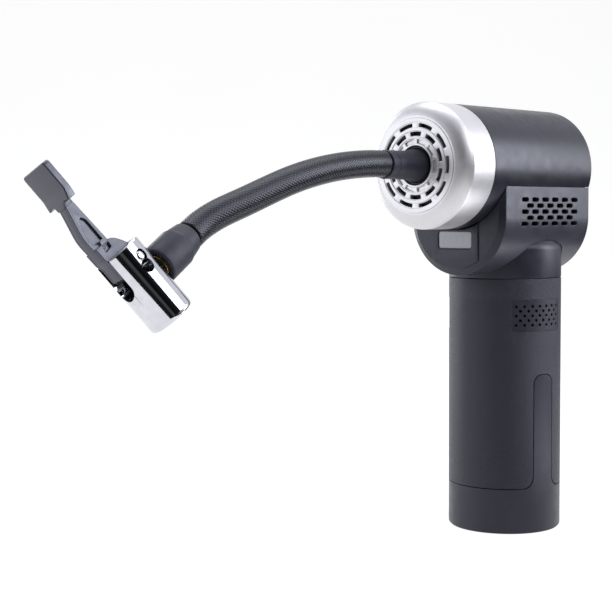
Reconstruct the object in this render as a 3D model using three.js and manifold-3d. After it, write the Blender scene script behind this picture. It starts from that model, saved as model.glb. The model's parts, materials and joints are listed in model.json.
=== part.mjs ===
// Cordless hand-held air pump with a short braided hose and a lever-lock valve chuck.
// Millimetres. Origin: centre of the handle's flat base. +Z up, -Y towards the hose outlet (the front).
import * as THREE from "three";
import { mergeVertices } from "three/addons/utils/BufferGeometryUtils.js";
import Module from "manifold-3d";

const wasm = await Module();
wasm.setup();

// ---------- driving dimensions ----------
const GAP = 0.3; // air left between neighbouring pieces
const SEG = 32; // facets round a large circle

const HEAD_Z = 173.4; // height of the barrel's axis
const HEAD_R = 28.8; // barrel and nose ring
const HEAD_WALL = 2.2;
const FACE_Y = -68.7; // front of the grille
const FACE_R = 21.2; // grille disc
const CREASE_Y = -63.8; // where the nose's flank meets its straight band
const BAND_Y = -47.6; // rear edge of the silver band
const REAR_Y = 31.6; // rear end of the head

const LOBE_R = 27.3; // rounded housing under the barrel
const LOBE_Z = 150;
const LOBE_WALL = 2.2;
const LOBE_TOP = 163.9; // step line between housing and barrel
const LOBE_Y = -36.9; // front of the housing
const PANEL_Y = -39; // front of the display panel
const PANEL_R = 24.3;

const GRIP_R = 27; // handle
const CORE_R = 24.5; // tube under the grip
const CORE_WALL = 2.3;
const SEAM_Z = 121; // top of the grip
const SPLIT_Z = 21.4; // top of the base cap
const SHOULDER_Z = 136; // the neck starts to narrow
const NECK_TOP_Z = 139.2;
const NECK_TOP_R = 24.6;

const TONGUE_DEG = -11; // centre of the cap's tongue, from +X
const TONGUE_HALF_DEG = 12.5;
const TONGUE_TOP_Z = 75.4;
const PATCH_DEG = -16.6; // centre of the perforated insert
const PATCH_HALF_DEG = 30.5;
const PATCH_Z = [96.2, 111.2];
const PATCH_PITCH_DEG = 8.8;
const PATCH_ROW = 2.2;

const MOTOR_Z = 178;
const MOTOR_R = 13.8;
const MOTOR_Y = [-7.7, 27.4];
const PINION_TEETH = 8;
const GEAR_TEETH = 35;
const MODULE = 0.9;
const GEAR_Z = MOTOR_Z - (MODULE * (PINION_TEETH + GEAR_TEETH)) / 2;
const GEAR_Y = [-14, -10.8];
const CRANK_R = 4.5;
const CYL_Y = -24; // the pump cylinder stands on this line
const CYL_Z = [174, 193];
const BORE_R = 6.1;

const HOSE_R = 6;
const HOSE_ROUTE = [
  [0, -91.2, 173.6],
  [0, -101.5, 173.4],
  [0, -118, 172],
  [0, -133.8, 169.4],
  [0, -149.5, 165.5],
  [-0.7, -173.6, 157.2],
  [-1.4, -189.5, 151.5],
  [-1.4, -198.1, 147.4],
  [-0.4, -204.7, 143.6],
];
const CHUCK_ORIGIN = [3.7, -231.3, 127.2]; // where the hose's line meets the chuck's line
const CHUCK_HEADING_DEG = 8.8; // hose end, turned about Z
const CHUCK_RISE_DEG = 31.6; // hose end, above level
const CHUCK_ROLL_DEG = 25.3; // chuck, turned about the hose end's line
const CHUCK_R = 9.35;
const CHUCK_Z = [-17.7, 14.3]; // mouth and top, along the chuck's own line
const SLOT_HALF = 4;
const SLOT_END_Z = 1.6; // centre of the slot's round end
const PIN_AT = [0.8, 8.4];
const PIN_R = 1.9;

// ---------- helpers ----------
const rad = THREE.MathUtils.degToRad;

// A closed three.js geometry as a manifold solid, with its faces turned outwards.
function solid(geometry) {
  const bare = new THREE.BufferGeometry();
  const flat = geometry.index ? geometry.toNonIndexed() : geometry;
  bare.setAttribute("position", flat.getAttribute("position"));
  const merged = mergeVertices(bare, 1e-3);
  const at = merged.index.array;
  const keep = [];
  for (let i = 0; i < at.length; i += 3) {
    const [a, b, c] = [at[i], at[i + 1], at[i + 2]];
    if (a !== b && b !== c && c !== a) keep.push(a, b, c);
  }
  const make = (list) =>
    new wasm.Manifold(
      new wasm.Mesh({
        numProp: 3,
        vertProperties: merged.attributes.position.array,
        triVerts: new Uint32Array(list),
      }),
    );
  const first = make(keep);
  if (first.volume() > 0) return first;
  const turned = [];
  for (let i = 0; i < keep.length; i += 3) turned.push(keep[i], keep[i + 2], keep[i + 1]);
  return make(turned);
}

// Matrices that send a shape drawn in a plane, and its depth, to the row axes.
const TO_X = new THREE.Matrix4().set(0, 0, 1, 0, 1, 0, 0, 0, 0, 1, 0, 0, 0, 0, 0, 1); // (a, b, d) to (d, a, b)
const TO_Y = new THREE.Matrix4().set(1, 0, 0, 0, 0, 0, -1, 0, 0, 1, 0, 0, 0, 0, 0, 1); // (a, b, d) to (a, -d, b)

// A 2-D outline carried along an axis between two stations.
function prism(shape, axis, from, to, curveSegments = 8) {
  const low = Math.min(from, to);
  const depth = Math.abs(to - from);
  const g = new THREE.ExtrudeGeometry(shape, { depth, bevelEnabled: false, curveSegments });
  if (axis === "x") g.applyMatrix4(TO_X).translate(low, 0, 0);
  if (axis === "y") g.applyMatrix4(TO_Y).translate(0, low + depth, 0);
  if (axis === "z") g.translate(0, 0, low);
  return solid(g);
}

// A profile of [radius, station] pairs turned about an axis; a tube's profile is closed by itself.
function turned(profile, axis, at = [0, 0, 0], segments = SEG) {
  const points = profile.map(([r, s]) => new THREE.Vector2(r, s));
  const onAxis = profile[0][0] === 0 && profile[profile.length - 1][0] === 0;
  if (!onAxis) points.push(points[0].clone());
  const g = new THREE.LatheGeometry(points, segments);
  if (axis === "x") g.rotateZ(-Math.PI / 2);
  if (axis === "z") g.rotateX(Math.PI / 2);
  g.translate(...at);
  return solid(g);
}

function rod(r, axis, from, to, at = [0, 0, 0], segments = SEG) {
  return turned([[0, from], [r, from], [r, to], [0, to]], axis, at, segments);
}

function tube(r, bore, axis, from, to, at = [0, 0, 0], segments = SEG) {
  return turned([[bore, from], [r, from], [r, to], [bore, to]], axis, at, segments);
}

function block(x, y, z) {
  const g = new THREE.BoxGeometry(x[1] - x[0], y[1] - y[0], z[1] - z[0]);
  g.translate((x[0] + x[1]) / 2, (y[0] + y[1]) / 2, (z[0] + z[1]) / 2);
  return solid(g);
}

function shapeOf(points) {
  return new THREE.Shape(points.map(([a, b]) => new THREE.Vector2(a, b)));
}

// Points along an arc, in degrees.
function arc(cx, cy, r, from, to, steps) {
  return Array.from({ length: steps + 1 }, (_, i) => {
    const t = rad(from + ((to - from) * i) / steps);
    return [cx + r * Math.cos(t), cy + r * Math.sin(t)];
  });
}

// A curved strip of a cylinder wall about Z.
function strip(rIn, rOut, centreDeg, halfDeg, z0, z1, steps = 6) {
  const outer = arc(0, 0, rOut, centreDeg - halfDeg, centreDeg + halfDeg, steps);
  const inner = arc(0, 0, rIn, centreDeg + halfDeg, centreDeg - halfDeg, steps);
  return prism(shapeOf([...outer, ...inner]), "z", z0, z1);
}

// A slot with rounded ends, lying along its first axis.
function stadium(cx, cy, halfLength, halfWidth, steps = 3) {
  const right = arc(cx + halfLength - halfWidth, cy, halfWidth, -90, 90, steps);
  const left = arc(cx - halfLength + halfWidth, cy, halfWidth, 90, 270, steps);
  return shapeOf([...right, ...left]);
}

function roundedBox(cx, cy, halfX, halfY, r, steps = 3) {
  return shapeOf([
    ...arc(cx + halfX - r, cy - halfY + r, r, -90, 0, steps),
    ...arc(cx + halfX - r, cy + halfY - r, r, 0, 90, steps),
    ...arc(cx - halfX + r, cy + halfY - r, r, 90, 180, steps),
    ...arc(cx - halfX + r, cy - halfY + r, r, 180, 270, steps),
  ]);
}

const join = (...parts) => parts.reduce((a, b) => a.add(b));
const cut = (body, ...tools) => tools.reduce((a, b) => a.subtract(b), body);
const mirrorX = (body) => body.mirror([1, 0, 0]);

const PAINTS = {
  body: [0x3c3d44, 0.5, 0],
  housing: [0x62636b, 0.45, 0.1],
  silver: [0xd2d1d8, 0.35, 0.6],
  grip: [0x3a3b41, 0.8, 0],
  dark: [0x222327, 0.6, 0],
  rubber: [0x1c1c1f, 0.9, 0],
  lens: [0x8c8f96, 0.2, 0],
  board: [0x1f5a3a, 0.6, 0],
  steel: [0xb4b6ba, 0.35, 1],
  chrome: [0xe4e4e8, 0.1, 1],
  brass: [0xc9a55a, 0.35, 1],
  alloy: [0xa9abb0, 0.45, 1],
  cell: [0x3f6f9e, 0.5, 0.1],
  hose: [0x4a4a50, 0.7, 0],
  nylon: [0xd9d6cc, 0.5, 0],
};

const pump = new THREE.Group();
pump.name = "air_pump";

// The chuck's own frame: X along its pin, Y towards the hose, Z from mouth to lever.
const chuckFrame = new THREE.Group();
chuckFrame.name = "chuck_frame";
chuckFrame.position.set(...CHUCK_ORIGIN);
chuckFrame.quaternion
  .setFromAxisAngle(new THREE.Vector3(0, 0, 1), rad(CHUCK_HEADING_DEG))
  .multiply(new THREE.Quaternion().setFromAxisAngle(new THREE.Vector3(1, 0, 0), rad(CHUCK_RISE_DEG)))
  .multiply(new THREE.Quaternion().setFromAxisAngle(new THREE.Vector3(0, 1, 0), rad(-CHUCK_ROLL_DEG)));
pump.add(chuckFrame);

function piece(name, body, paint, parent = pump) {
  const m = body.getMesh();
  const g = new THREE.BufferGeometry();
  const v = new Float32Array(m.numVert * 3);
  for (let i = 0; i < m.numVert; i++) {
    v.set(m.vertProperties.subarray(i * m.numProp, i * m.numProp + 3), i * 3);
  }
  g.setAttribute("position", new THREE.BufferAttribute(v, 3));
  g.setIndex(new THREE.BufferAttribute(m.triVerts, 1));
  g.computeVertexNormals();
  const [color, roughness, metalness] = PAINTS[paint];
  const mesh = new THREE.Mesh(g, new THREE.MeshStandardMaterial({ color, roughness, metalness }));
  mesh.name = name;
  parent.add(mesh);
}

// ---------- silver nose ----------
const noseRing = turned(
  [
    [21.5, FACE_Y + 0.3],
    [22.6, FACE_Y + 0.3],
    [25.6, FACE_Y + 1.7],
    [27.7, FACE_Y + 3.4],
    [28.5, CREASE_Y],
    [HEAD_R, CREASE_Y + 1.2],
    [HEAD_R, BAND_Y],
    [26.2, BAND_Y],
    [26.2, BAND_Y + 4],
    [24.2, BAND_Y + 4],
    [24.2, -61],
    [19.4, -63.4],
    [19.4, -65.9],
    [21.5, -65.9],
  ],
  "y",
  [0, 0, HEAD_Z],
);
piece("nose_ring", noseRing, "silver");

// Ring of curved slots through a disc about the head's axis.
function arcSlots(rIn, rOut, count, startDeg, halfDeg, y0, y1) {
  const slots = [];
  for (let k = 0; k < count; k++) {
    const mid = startDeg + (360 / count) * k;
    const outline = [
      ...arc(0, HEAD_Z, rOut, mid - halfDeg, mid + halfDeg, 3),
      ...arc(0, HEAD_Z, rIn, mid + halfDeg, mid - halfDeg, 3),
    ];
    slots.push(prism(shapeOf(outline), "y", y0, y1));
  }
  return slots;
}
const grille = cut(
  tube(FACE_R, 8.95, "y", FACE_Y, FACE_Y + 2.4, [0, 0, HEAD_Z]),
  ...arcSlots(17.4, 18.8, 10, 108, 12, FACE_Y - 1, FACE_Y + 4),
  ...arcSlots(13.4, 15.1, 10, 90, 12, FACE_Y - 1, FACE_Y + 4),
);
piece("front_grille", grille, "silver");
piece("grille_screen", tube(19.1, 9, "y", -65.9, -64.6, [0, 0, HEAD_Z], 24), "dark");

// Threaded outlet that the hose fitting screws into, held by the pump's outlet.
const socket = turned(
  [
    [7.8, FACE_Y + 0.5],
    [8.65, FACE_Y + 0.5],
    [8.65, -58],
    [7.2, -57],
    [7.2, -44],
    [2.6, -44],
    [2.6, -50],
    [5.5, -50],
    [5.5, -66.2],
    [7.8, -66.2],
  ],
  "y",
  [0, 0, HEAD_Z],
  18,
);
piece("outlet_socket", socket, "dark");

// ---------- head barrel ----------
const bossAt = [[18.5, 187.5], [-18.5, 187.5]];
const lobeBossAt = [[20.8, 146], [-20.8, 146]];
const barrel = join(
  cut(
    tube(HEAD_R, HEAD_R - HEAD_WALL, "y", BAND_Y + GAP, REAR_Y, [0, 0, HEAD_Z]),
    block([-40, 40], [LOBE_Y - GAP, REAR_Y + 1], [100, LOBE_TOP + GAP]),
  ),
  ...bossAt.map(([x, z]) => {
    const boss = tube(4, 1.5, "y", 18, 28.8, [x, 0, z], 12);
    return boss.intersect(rod(HEAD_R - 0.5, "y", 0, 40, [0, 0, HEAD_Z]));
  }),
);
piece("head_barrel", barrel, "body");

// ---------- lower housing: two halves with slotted flanks ----------
const lobeOutline = (r) => [
  [r, LOBE_TOP],
  ...arc(0, LOBE_Z, r, 0, -180, 20),
  [-r, LOBE_TOP],
];
const lobeOuter = prism(shapeOf(lobeOutline(LOBE_R)), "y", LOBE_Y, REAR_Y);
const lobeInner = prism(shapeOf([
  [LOBE_R - LOBE_WALL, LOBE_TOP + 9],
  ...arc(0, LOBE_Z, LOBE_R - LOBE_WALL, 0, -180, 20),
  [-LOBE_R + LOBE_WALL, LOBE_TOP + 9],
]), "y", LOBE_Y + 2, REAR_Y + 1);
const frontWindow = prism(shapeOf([
  [21, LOBE_TOP + 9],
  ...arc(0, LOBE_Z, 21, 0, -180, 12),
  [-21, LOBE_TOP + 9],
]), "y", LOBE_Y - 1, LOBE_Y + 3);
const neckOuter = (extra) => turned(
  [
    [0, SEAM_Z + GAP - 3],
    [GRIP_R + extra, SEAM_Z + GAP - 3],
    [GRIP_R + extra, SHOULDER_Z],
    [NECK_TOP_R + extra, NECK_TOP_Z + extra],
    [0, NECK_TOP_Z + extra],
  ],
  "z",
);
const VENT_ROWS = [6, 5, 6, 5, 6];
const ventTools = VENT_ROWS.flatMap((count, row) =>
  Array.from({ length: count }, (_, i) => {
    const y = -22.2 + 8.17 * (i + (row % 2 ? 0.5 : 0));
    return prism(stadium(y, 158.1 - 2.81 * row, 2.7, 0.95, 2), "x", 20, 32);
  }),
);
const lobeBoth = cut(
  lobeOuter,
  lobeInner,
  frontWindow,
  neckOuter(GAP),
  rod(HEAD_R + GAP, "y", LOBE_Y - 1, LOBE_Y + 2.5, [0, 0, HEAD_Z]),
);
const halfRight = block([GAP / 2, 40], [-60, 60], [100, 200]);
const lobeBoss = join(
  cut(
    rod(4.6, "y", 18, 28.8, [20.8, 0, 146], 12),
    rod(1.5, "y", 17, 29, [20.8, 0, 146], 12),
  ).intersect(prism(shapeOf(lobeOutline(LOBE_R - 0.5)), "y", 0, 40)),
);
const coverLeft = join(cut(lobeBoth.intersect(halfRight), ...ventTools), lobeBoss);
piece("side_cover_left", coverLeft, "housing");
piece("side_cover_right", mirrorX(coverLeft), "housing");

// ---------- display ----------
const panelSolid = (() => {
  // Half-disc with a straight-sided top, tapering from the housing's outline to the face.
  const back = turned(
    [[0, LOBE_Y - GAP], [LOBE_R - 0.2, LOBE_Y - GAP], [PANEL_R, PANEL_Y], [0, PANEL_Y]],
    "y",
    [0, 0, LOBE_Z],
  );
  const side = (sign) => prism(
    shapeOf([
      [0, LOBE_Y - GAP],
      [sign * (LOBE_R - 0.2), LOBE_Y - GAP],
      [sign * PANEL_R, PANEL_Y],
      [0, PANEL_Y],
    ]),
    "z",
    LOBE_Z,
    LOBE_TOP - 1,
  );
  return join(back, side(1), side(-1));
})();
const column = prism(
  shapeOf([
    [-13.4, PANEL_Y + 0.5],
    [-12.7, PANEL_Y - 0.7],
    [12.7, PANEL_Y - 0.7],
    [13.4, PANEL_Y + 0.5],
  ]),
  "z",
  127.6,
  150,
);
const windowShape = (grow) => roundedBox(0, 139.6, 9.4 + grow, 3.9 + grow, 1.6);
const panel = cut(
  join(panelSolid, column),
  rod(HEAD_R + GAP, "y", -60, -30, [0, 0, HEAD_Z]),
  prism(windowShape(GAP), "y", -60, -30),
);
piece("display_panel", panel, "body");
piece("display_lens", prism(windowShape(0), "y", PANEL_Y - 0.5, LOBE_Y - 0.6), "lens");
const displayModule = join(
  block([-14, 14], [-34.6, -33.1], [130.5, 147.5]),
  block([-10.6, 10.6], [-36.6, -34.5], [134.6, 144.4]),
  block([-6, 6], [-33.2, -30.4], [132, 136]),
);
piece("display_module", displayModule, "board");

// ---------- rear cover with air inlets, keys and charging inlet ----------
const rearOutline = [
  ...arc(0, HEAD_Z, HEAD_R - HEAD_WALL - GAP, -19, 199, 24),
  ...arc(0, LOBE_Z, LOBE_R - LOBE_WALL - GAP, 180, 360, 16),
];
const REAR_IN = REAR_Y - 2.4;
const keyAt = [["power_key", 0, 4.6], ["plus_key", 12.5, 3.4], ["minus_key", -12.5, 3.4]];
const KEY_Z = 155;
const USB_Z = 143.6;
const AIR_SLOTS = [11, 12.1, 12.8, 13, 12.8, 12.1, 11]; // half-lengths, lowest slot first
const rearCover = cut(
  prism(shapeOf(rearOutline), "y", REAR_IN, REAR_Y),
  ...AIR_SLOTS.map((half, i) => {
    const z = 169 + 3.6 * i;
    return prism(stadium(0, z, half, 0.9, 2), "y", REAR_IN - 1, REAR_Y + 1);
  }),
  ...keyAt.map(([, x, r]) => rod(r + GAP, "y", REAR_IN - 1, REAR_Y + 1, [x, 0, KEY_Z], 16)),
  prism(stadium(0, USB_Z, 5 + GAP, 2 + GAP, 4), "y", REAR_IN - 1, REAR_Y + 1),
  ...[...bossAt, ...lobeBossAt].map(([x, z]) => rod(1.6, "y", REAR_IN - 1, REAR_Y + 1, [x, 0, z], 8)),
  ...[...bossAt, ...lobeBossAt].map(([x, z]) => rod(3.1, "y", REAR_Y - 1.3, REAR_Y + 1, [x, 0, z], 10)),
);
piece("rear_cover", rearCover, "body");
for (const [name, x, r] of keyAt) {
  const key = turned(
    [
      [0, REAR_IN - 2.4],
      [r + 0.9, REAR_IN - 2.4],
      [r + 0.9, REAR_IN - 1.4],
      [r, REAR_IN - 1.4],
      [r, REAR_Y + 0.5],
      [r - 0.4, REAR_Y + 0.9],
      [0, REAR_Y + 0.9],
    ],
    "y",
    [x, 0, KEY_Z],
    16,
  );
  piece(name, key, "dark");
}
const inlet = cut(
  prism(stadium(0, USB_Z, 5, 2, 4), "y", 23.4, REAR_Y - 0.2),
  prism(stadium(0, USB_Z, 4.4, 1.4, 4), "y", 24.6, REAR_Y + 1),
);
piece("usb_inlet", join(inlet, block([-3.1, 3.1], [24, 30.6], [USB_Z - 0.35, USB_Z + 0.35])), "steel");
const keyBoard = join(
  block([-19, 19], [22.2, 23.8], [151.2, 160.2]),
  block([-1.8, 1.8], [23.7, 25.2], [KEY_Z - 1.8, KEY_Z + 1.8]),
  block([10.7, 14.3], [23.7, 25.2], [KEY_Z - 1.8, KEY_Z + 1.8]),
  block([-14.3, -10.7], [23.7, 25.2], [KEY_Z - 1.8, KEY_Z + 1.8]),
);
piece("key_board", keyBoard, "board");
const chargeBoard = join(
  block([-11, 11], [8, 23], [USB_Z - 3.8, USB_Z - 2.4]),
  block([-4, 4], [10, 15], [USB_Z - 2.5, USB_Z - 1]),
  block([5, 8.4], [9, 12.4], [USB_Z - 2.5, USB_Z + 2]),
);
piece("charge_board", chargeBoard, "board");
bossAt.concat(lobeBossAt).forEach(([x, z], i) => {
  const screw = join(
    rod(1.3, "y", 19.5, REAR_Y - 1.5, [x, 0, z], 8),
    turned(
      [
        [0, REAR_Y - 1.1],
        [2.7, REAR_Y - 1.1],
        [2.7, REAR_Y - 0.5],
        [1.9, REAR_Y - 0.1],
        [0, REAR_Y - 0.1],
      ],
      "y",
      [x, 0, z],
      10,
    ),
    rod(1.3, "y", REAR_Y - 1.6, REAR_Y - 1, [x, 0, z], 8),
  );
  const cross = join(
    block([x - 1.3, x + 1.3], [REAR_Y - 0.7, REAR_Y + 1], [z - 0.3, z + 0.3]),
    block([x - 0.3, x + 0.3], [REAR_Y - 0.7, REAR_Y + 1], [z - 1.3, z + 1.3]),
  );
  piece("rear_screw_" + (i + 1), cut(screw, cross), "steel");
});

// ---------- handle ----------
const bothSides = (body) => join(body, mirrorX(body));
const patchWindow = (grow, rIn, rOut) =>
  bothSides(strip(rIn, rOut, PATCH_DEG, PATCH_HALF_DEG + grow, PATCH_Z[0] - grow / 2, PATCH_Z[1] + grow / 2));
const core = cut(
  join(
    cut(neckOuter(0), rod(CORE_R - CORE_WALL, "z", 100, 150)),
    tube(CORE_R, CORE_R - CORE_WALL, "z", 7, SEAM_Z + GAP),
  ),
  block([-40, 40], [-40, 40], [SEAM_Z - 6, SEAM_Z + GAP]).subtract(rod(CORE_R, "z", 100, 130)),
  bothSides(strip(20, 26, PATCH_DEG, PATCH_HALF_DEG - 5, PATCH_Z[0] + 2, PATCH_Z[1] - 2)),
);
piece("handle_core", core, "body");

// The cap's tongue: a strip with a rounded top and a flared foot, drawn flat and cut from the wall.
function tongue(grow, rIn, rOut) {
  const half = GRIP_R * Math.sin(rad(TONGUE_HALF_DEG)) + grow;
  const top = TONGUE_TOP_Z + grow;
  const foot = 5.5;
  const z0 = SPLIT_Z + grow;
  const outline = [
    [half + foot, z0 - 3],
    ...arc(half + foot, z0 + foot, foot, 270, 180, 4),
    ...arc(half - 4.5, top - 4.5, 4.5, 0, 90, 4),
    ...arc(-half + 4.5, top - 4.5, 4.5, 90, 180, 4),
    ...arc(-half - foot, z0 + foot, foot, 0, -90, 4),
    [-half - foot, z0 - 3],
  ];
  const slab = prism(shapeOf(outline), "x", 12, 40).rotate([0, 0, TONGUE_DEG]);
  return bothSides(slab.intersect(tube(rOut, rIn, "z", z0 - 3, top + 1)));
}
const grip = cut(
  tube(GRIP_R, CORE_R + GAP, "z", SPLIT_Z + GAP, SEAM_Z),
  tongue(GAP, 20, 30),
  patchWindow(0.7, 20, 30),
);
piece("grip_sleeve", grip, "grip");

const cap = join(
  turned(
    [
      [0, 0],
      [GRIP_R - 1.2, 0],
      [GRIP_R, 1.2],
      [GRIP_R, SPLIT_Z],
      [CORE_R + GAP, SPLIT_Z],
      [CORE_R + GAP, 3.4],
      [0, 3.4],
    ],
    "z",
  ),
  tongue(0, CORE_R + GAP, GRIP_R),
);
piece("base_cap", cut(cap, ...[0, 120, 240].map((a) => {
  const [x, y] = [18 * Math.cos(rad(a + 90)), 18 * Math.sin(rad(a + 90))];
  return join(rod(1.6, "z", -1, 5, [x, y, 0], 8), rod(3, "z", -1, 1.7, [x, y, 0], 10));
})), "body");
const holesOf = () => {
  const tools = [];
  for (let row = 0; row < 5; row++) {
    const count = row % 2 ? 6 : 7;
    for (let i = 0; i < count; i++) {
      const deg = PATCH_DEG + PATCH_PITCH_DEG * (i - (count - 1) / 2);
      const z = (PATCH_Z[0] + PATCH_Z[1]) / 2 + PATCH_ROW * (2 - row);
      tools.push(rod(0.95, "x", 22, 30, [0, 0, 0], 5).rotate([0, 0, deg]).translate([0, 0, z]));
    }
  }
  return tools;
};
const insert = cut(
  strip(CORE_R + GAP, GRIP_R - 0.4, PATCH_DEG, PATCH_HALF_DEG, PATCH_Z[0], PATCH_Z[1], 6),
  ...holesOf(),
);
piece("vent_insert_left", insert, "housing");
piece("vent_insert_right", mirrorX(insert), "housing");

// ---------- battery pack ----------
const CELL_R = 9.1;
const cellAt = [90, 210, 330].map((a) => [10.7 * Math.cos(rad(a)), 10.7 * Math.sin(rad(a))]);
cellAt.forEach(([x, y], i) => {
  const cell = join(
    turned(
      [[0, 10.2], [CELL_R - 0.6, 10.2], [CELL_R, 10.8], [CELL_R, 74.4], [CELL_R - 0.8, 75], [0, 75]],
      "z",
      [x, y, 0],
      14,
    ),
    rod(3, "z", 74.9, 75.9, [x, y, 0], 10),
  );
  piece("battery_cell_" + (i + 1), cell, "cell");
});
const cellPockets = (z0, z1) => cellAt.map(([x, y]) => rod(CELL_R + GAP, "z", z0, z1, [x, y, 0], 14));
piece(
  "battery_tray",
  cut(
    rod(CORE_R - CORE_WALL - GAP, "z", 8.4, 14),
    ...cellPockets(9.9, 20),
    rod(2.5, "z", 0, 20, [0, 0, 0], 12),
  ),
  "nylon",
);
piece(
  "battery_bracket",
  cut(
    rod(CORE_R - CORE_WALL - GAP, "z", 71, 78.2),
    ...cellPockets(60, 76.3),
    rod(2.5, "z", 60, 90, [0, 0, 0], 12),
  ),
  "nylon",
);
const mainBoard = join(
  block([-17, 17], [9.2, 10.8], [80, 119]),
  block([-9, -1], [6.4, 9.3], [84, 93]),
  block([3, 11], [5.2, 9.3], [84, 90]),
  block([-12, -6], [5, 9.3], [100, 112]),
  block([2, 12], [7.4, 9.3], [98, 108]),
);
piece("main_board", mainBoard, "board");
[0, 120, 240].forEach((a, i) => {
  const [x, y] = [18 * Math.cos(rad(a + 90)), 18 * Math.sin(rad(a + 90))];
  const screw = join(
    rod(1.3, "z", 1.5, 6.6, [x, y, 0], 8),
    turned([[0, 0.5], [2.2, 0.5], [2.7, 0.9], [2.7, 1.6], [0, 1.6]], "z", [x, y, 0], 10),
  );
  const cross = join(
    block([x - 1.3, x + 1.3], [y - 0.3, y + 0.3], [-1, 1]),
    block([x - 0.3, x + 0.3], [y - 1.3, y + 1.3], [-1, 1]),
  );
  piece("base_screw_" + (i + 1), cut(screw, cross), "steel");
});

// ---------- motor, gears and pump ----------
const can = turned(
  [
    [2.6, MOTOR_Y[0]],
    [MOTOR_R - 0.8, MOTOR_Y[0]],
    [MOTOR_R, MOTOR_Y[0] + 0.8],
    [MOTOR_R, MOTOR_Y[1] - 4.3],
    [MOTOR_R - 1.2, MOTOR_Y[1] - 4.3],
    [MOTOR_R - 1.2, MOTOR_Y[0] + 1.4],
    [2.6, MOTOR_Y[0] + 1.4],
  ],
  "y",
  [0, 0, MOTOR_Z],
  20,
);
piece("motor_can", can, "steel");
const motorCap = turned(
  [
    [1.5, MOTOR_Y[1] - 4],
    [MOTOR_R, MOTOR_Y[1] - 4],
    [MOTOR_R, MOTOR_Y[1] - 1.6],
    [4.5, MOTOR_Y[1] - 1.6],
    [4.5, MOTOR_Y[1]],
    [1.5, MOTOR_Y[1]],
  ],
  "y",
  [0, 0, MOTOR_Z],
  20,
);
piece("motor_end_cap", motorCap, "nylon");
const SHAFT_R = 1.15;
const rotor = join(
  rod(SHAFT_R, "y", -14.6, MOTOR_Y[1] - 0.5, [0, 0, MOTOR_Z], 12),
  rod(10.6, "y", -3, 16, [0, 0, MOTOR_Z], 18),
  rod(4, "y", 15.9, 21.5, [0, 0, MOTOR_Z], 16),
);
piece("motor_rotor", rotor, "alloy");

// A round hole for a flat outline.
function ringPath(r, sides) {
  return new THREE.Path(
    arc(0, 0, r, 360, 0, sides).slice(0, sides).map(([a, b]) => new THREE.Vector2(a, b)),
  );
}

// A spur gear: straight-flanked teeth, thinner than half the pitch so that a pair runs free.
function gearShape(teeth, bore, phaseDeg) {
  const pitchR = (MODULE * teeth) / 2;
  const pitchDeg = 360 / teeth;
  const root = pitchR - 1.15 * MODULE;
  const tip = pitchR + 0.8 * MODULE;
  const points = [];
  for (let k = 0; k < teeth; k++) {
    const mid = phaseDeg + k * pitchDeg;
    for (const [r, share] of [[root, -0.27], [tip, -0.11], [tip, 0.11], [root, 0.27]]) {
      const t = rad(mid + share * pitchDeg);
      points.push([r * Math.cos(t), r * Math.sin(t)]);
    }
  }
  const shape = shapeOf(points);
  if (bore) shape.holes.push(ringPath(bore, 16));
  return shape;
}
const placed = (shape, y0, y1, z) => prism(shape, "y", y0, y1).translate([0, 0, z]);
piece(
  "pinion",
  placed(gearShape(PINION_TEETH, SHAFT_R + 0.05, -90), GEAR_Y[0] - 0.3, GEAR_Y[1] + 0.3, MOTOR_Z),
  "brass",
);
const crankGear = cut(
  placed(gearShape(GEAR_TEETH, 0, 90 + 180 / GEAR_TEETH), GEAR_Y[0], GEAR_Y[1], GEAR_Z),
  ...[45, 135, 225, 315].map((a) => {
    const at = [9 * Math.cos(rad(a)), 0, GEAR_Z + 9 * Math.sin(rad(a))];
    return rod(3, "y", -20, 0, at, 8);
  }),
);
piece("crank_gear", crankGear.subtract(rod(2.05, "y", -20, 0, [0, 0, GEAR_Z], 16)), "nylon");
const crank = join(
  rod(2, "y", -16.6, -3.4, [0, 0, GEAR_Z], 16),
  prism(stadium(0, 0, CRANK_R + 1, 3, 5), "y", -18, -14.4).rotate([0, 90, 0]).translate([0, 0, GEAR_Z + 1.5]),
  rod(1.5, "y", -21.6, -17.9, [0, 0, GEAR_Z + CRANK_R], 12),
  rod(6.5, "y", -18, -14.4, [0, 0, GEAR_Z - 2], 20),
);
piece("crankshaft", crank, "steel");

const frame = cut(
  join(
    prism(roundedBox(0, 170.5, 14.5, 20.5, 4), "y", -9.9, -8),
    block([10, 12], [-16, -9.8], [172.4, 180]),
    block([-12, -10], [-16, -9.8], [172.4, 180]),
    block([-12, 12], [-34, -15.2], [176.6, 180]),
  ),
  rod(4, "y", -12, -7, [0, 0, MOTOR_Z], 20),
  rod(2.06, "y", -12, -7, [0, 0, GEAR_Z], 16),
  rod(8.2, "z", 160, 200, [0, CYL_Y, 0], 18),
);
piece("pump_frame", frame, "alloy");
const cylinder = join(
  tube(7.9, BORE_R, "z", CYL_Z[0], CYL_Z[1], [0, CYL_Y, 0], 18),
  tube(9.2, BORE_R, "z", CYL_Z[1] - 1.6, CYL_Z[1], [0, CYL_Y, 0], 18),
);
piece("pump_cylinder", cylinder, "alloy");
const TOP_Z = CYL_Z[1] + GAP;
const head = cut(
  join(
    rod(9.2, "z", TOP_Z, TOP_Z + 3.4, [0, CYL_Y, 0], 18),
    rod(2, "y", CYL_Y - 13, CYL_Y - 7, [0, 0, TOP_Z + 1.9], 12),
  ),
  rod(1, "y", CYL_Y - 14, CYL_Y, [0, 0, TOP_Z + 1.9], 10),
  rod(1, "z", TOP_Z - 1, TOP_Z + 2, [0, CYL_Y - 2, 0], 10),
);
piece("cylinder_head", head, "alloy");
const PISTON_TOP = 188.5;
const PIN_Z = GEAR_Z + CRANK_R;
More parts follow.
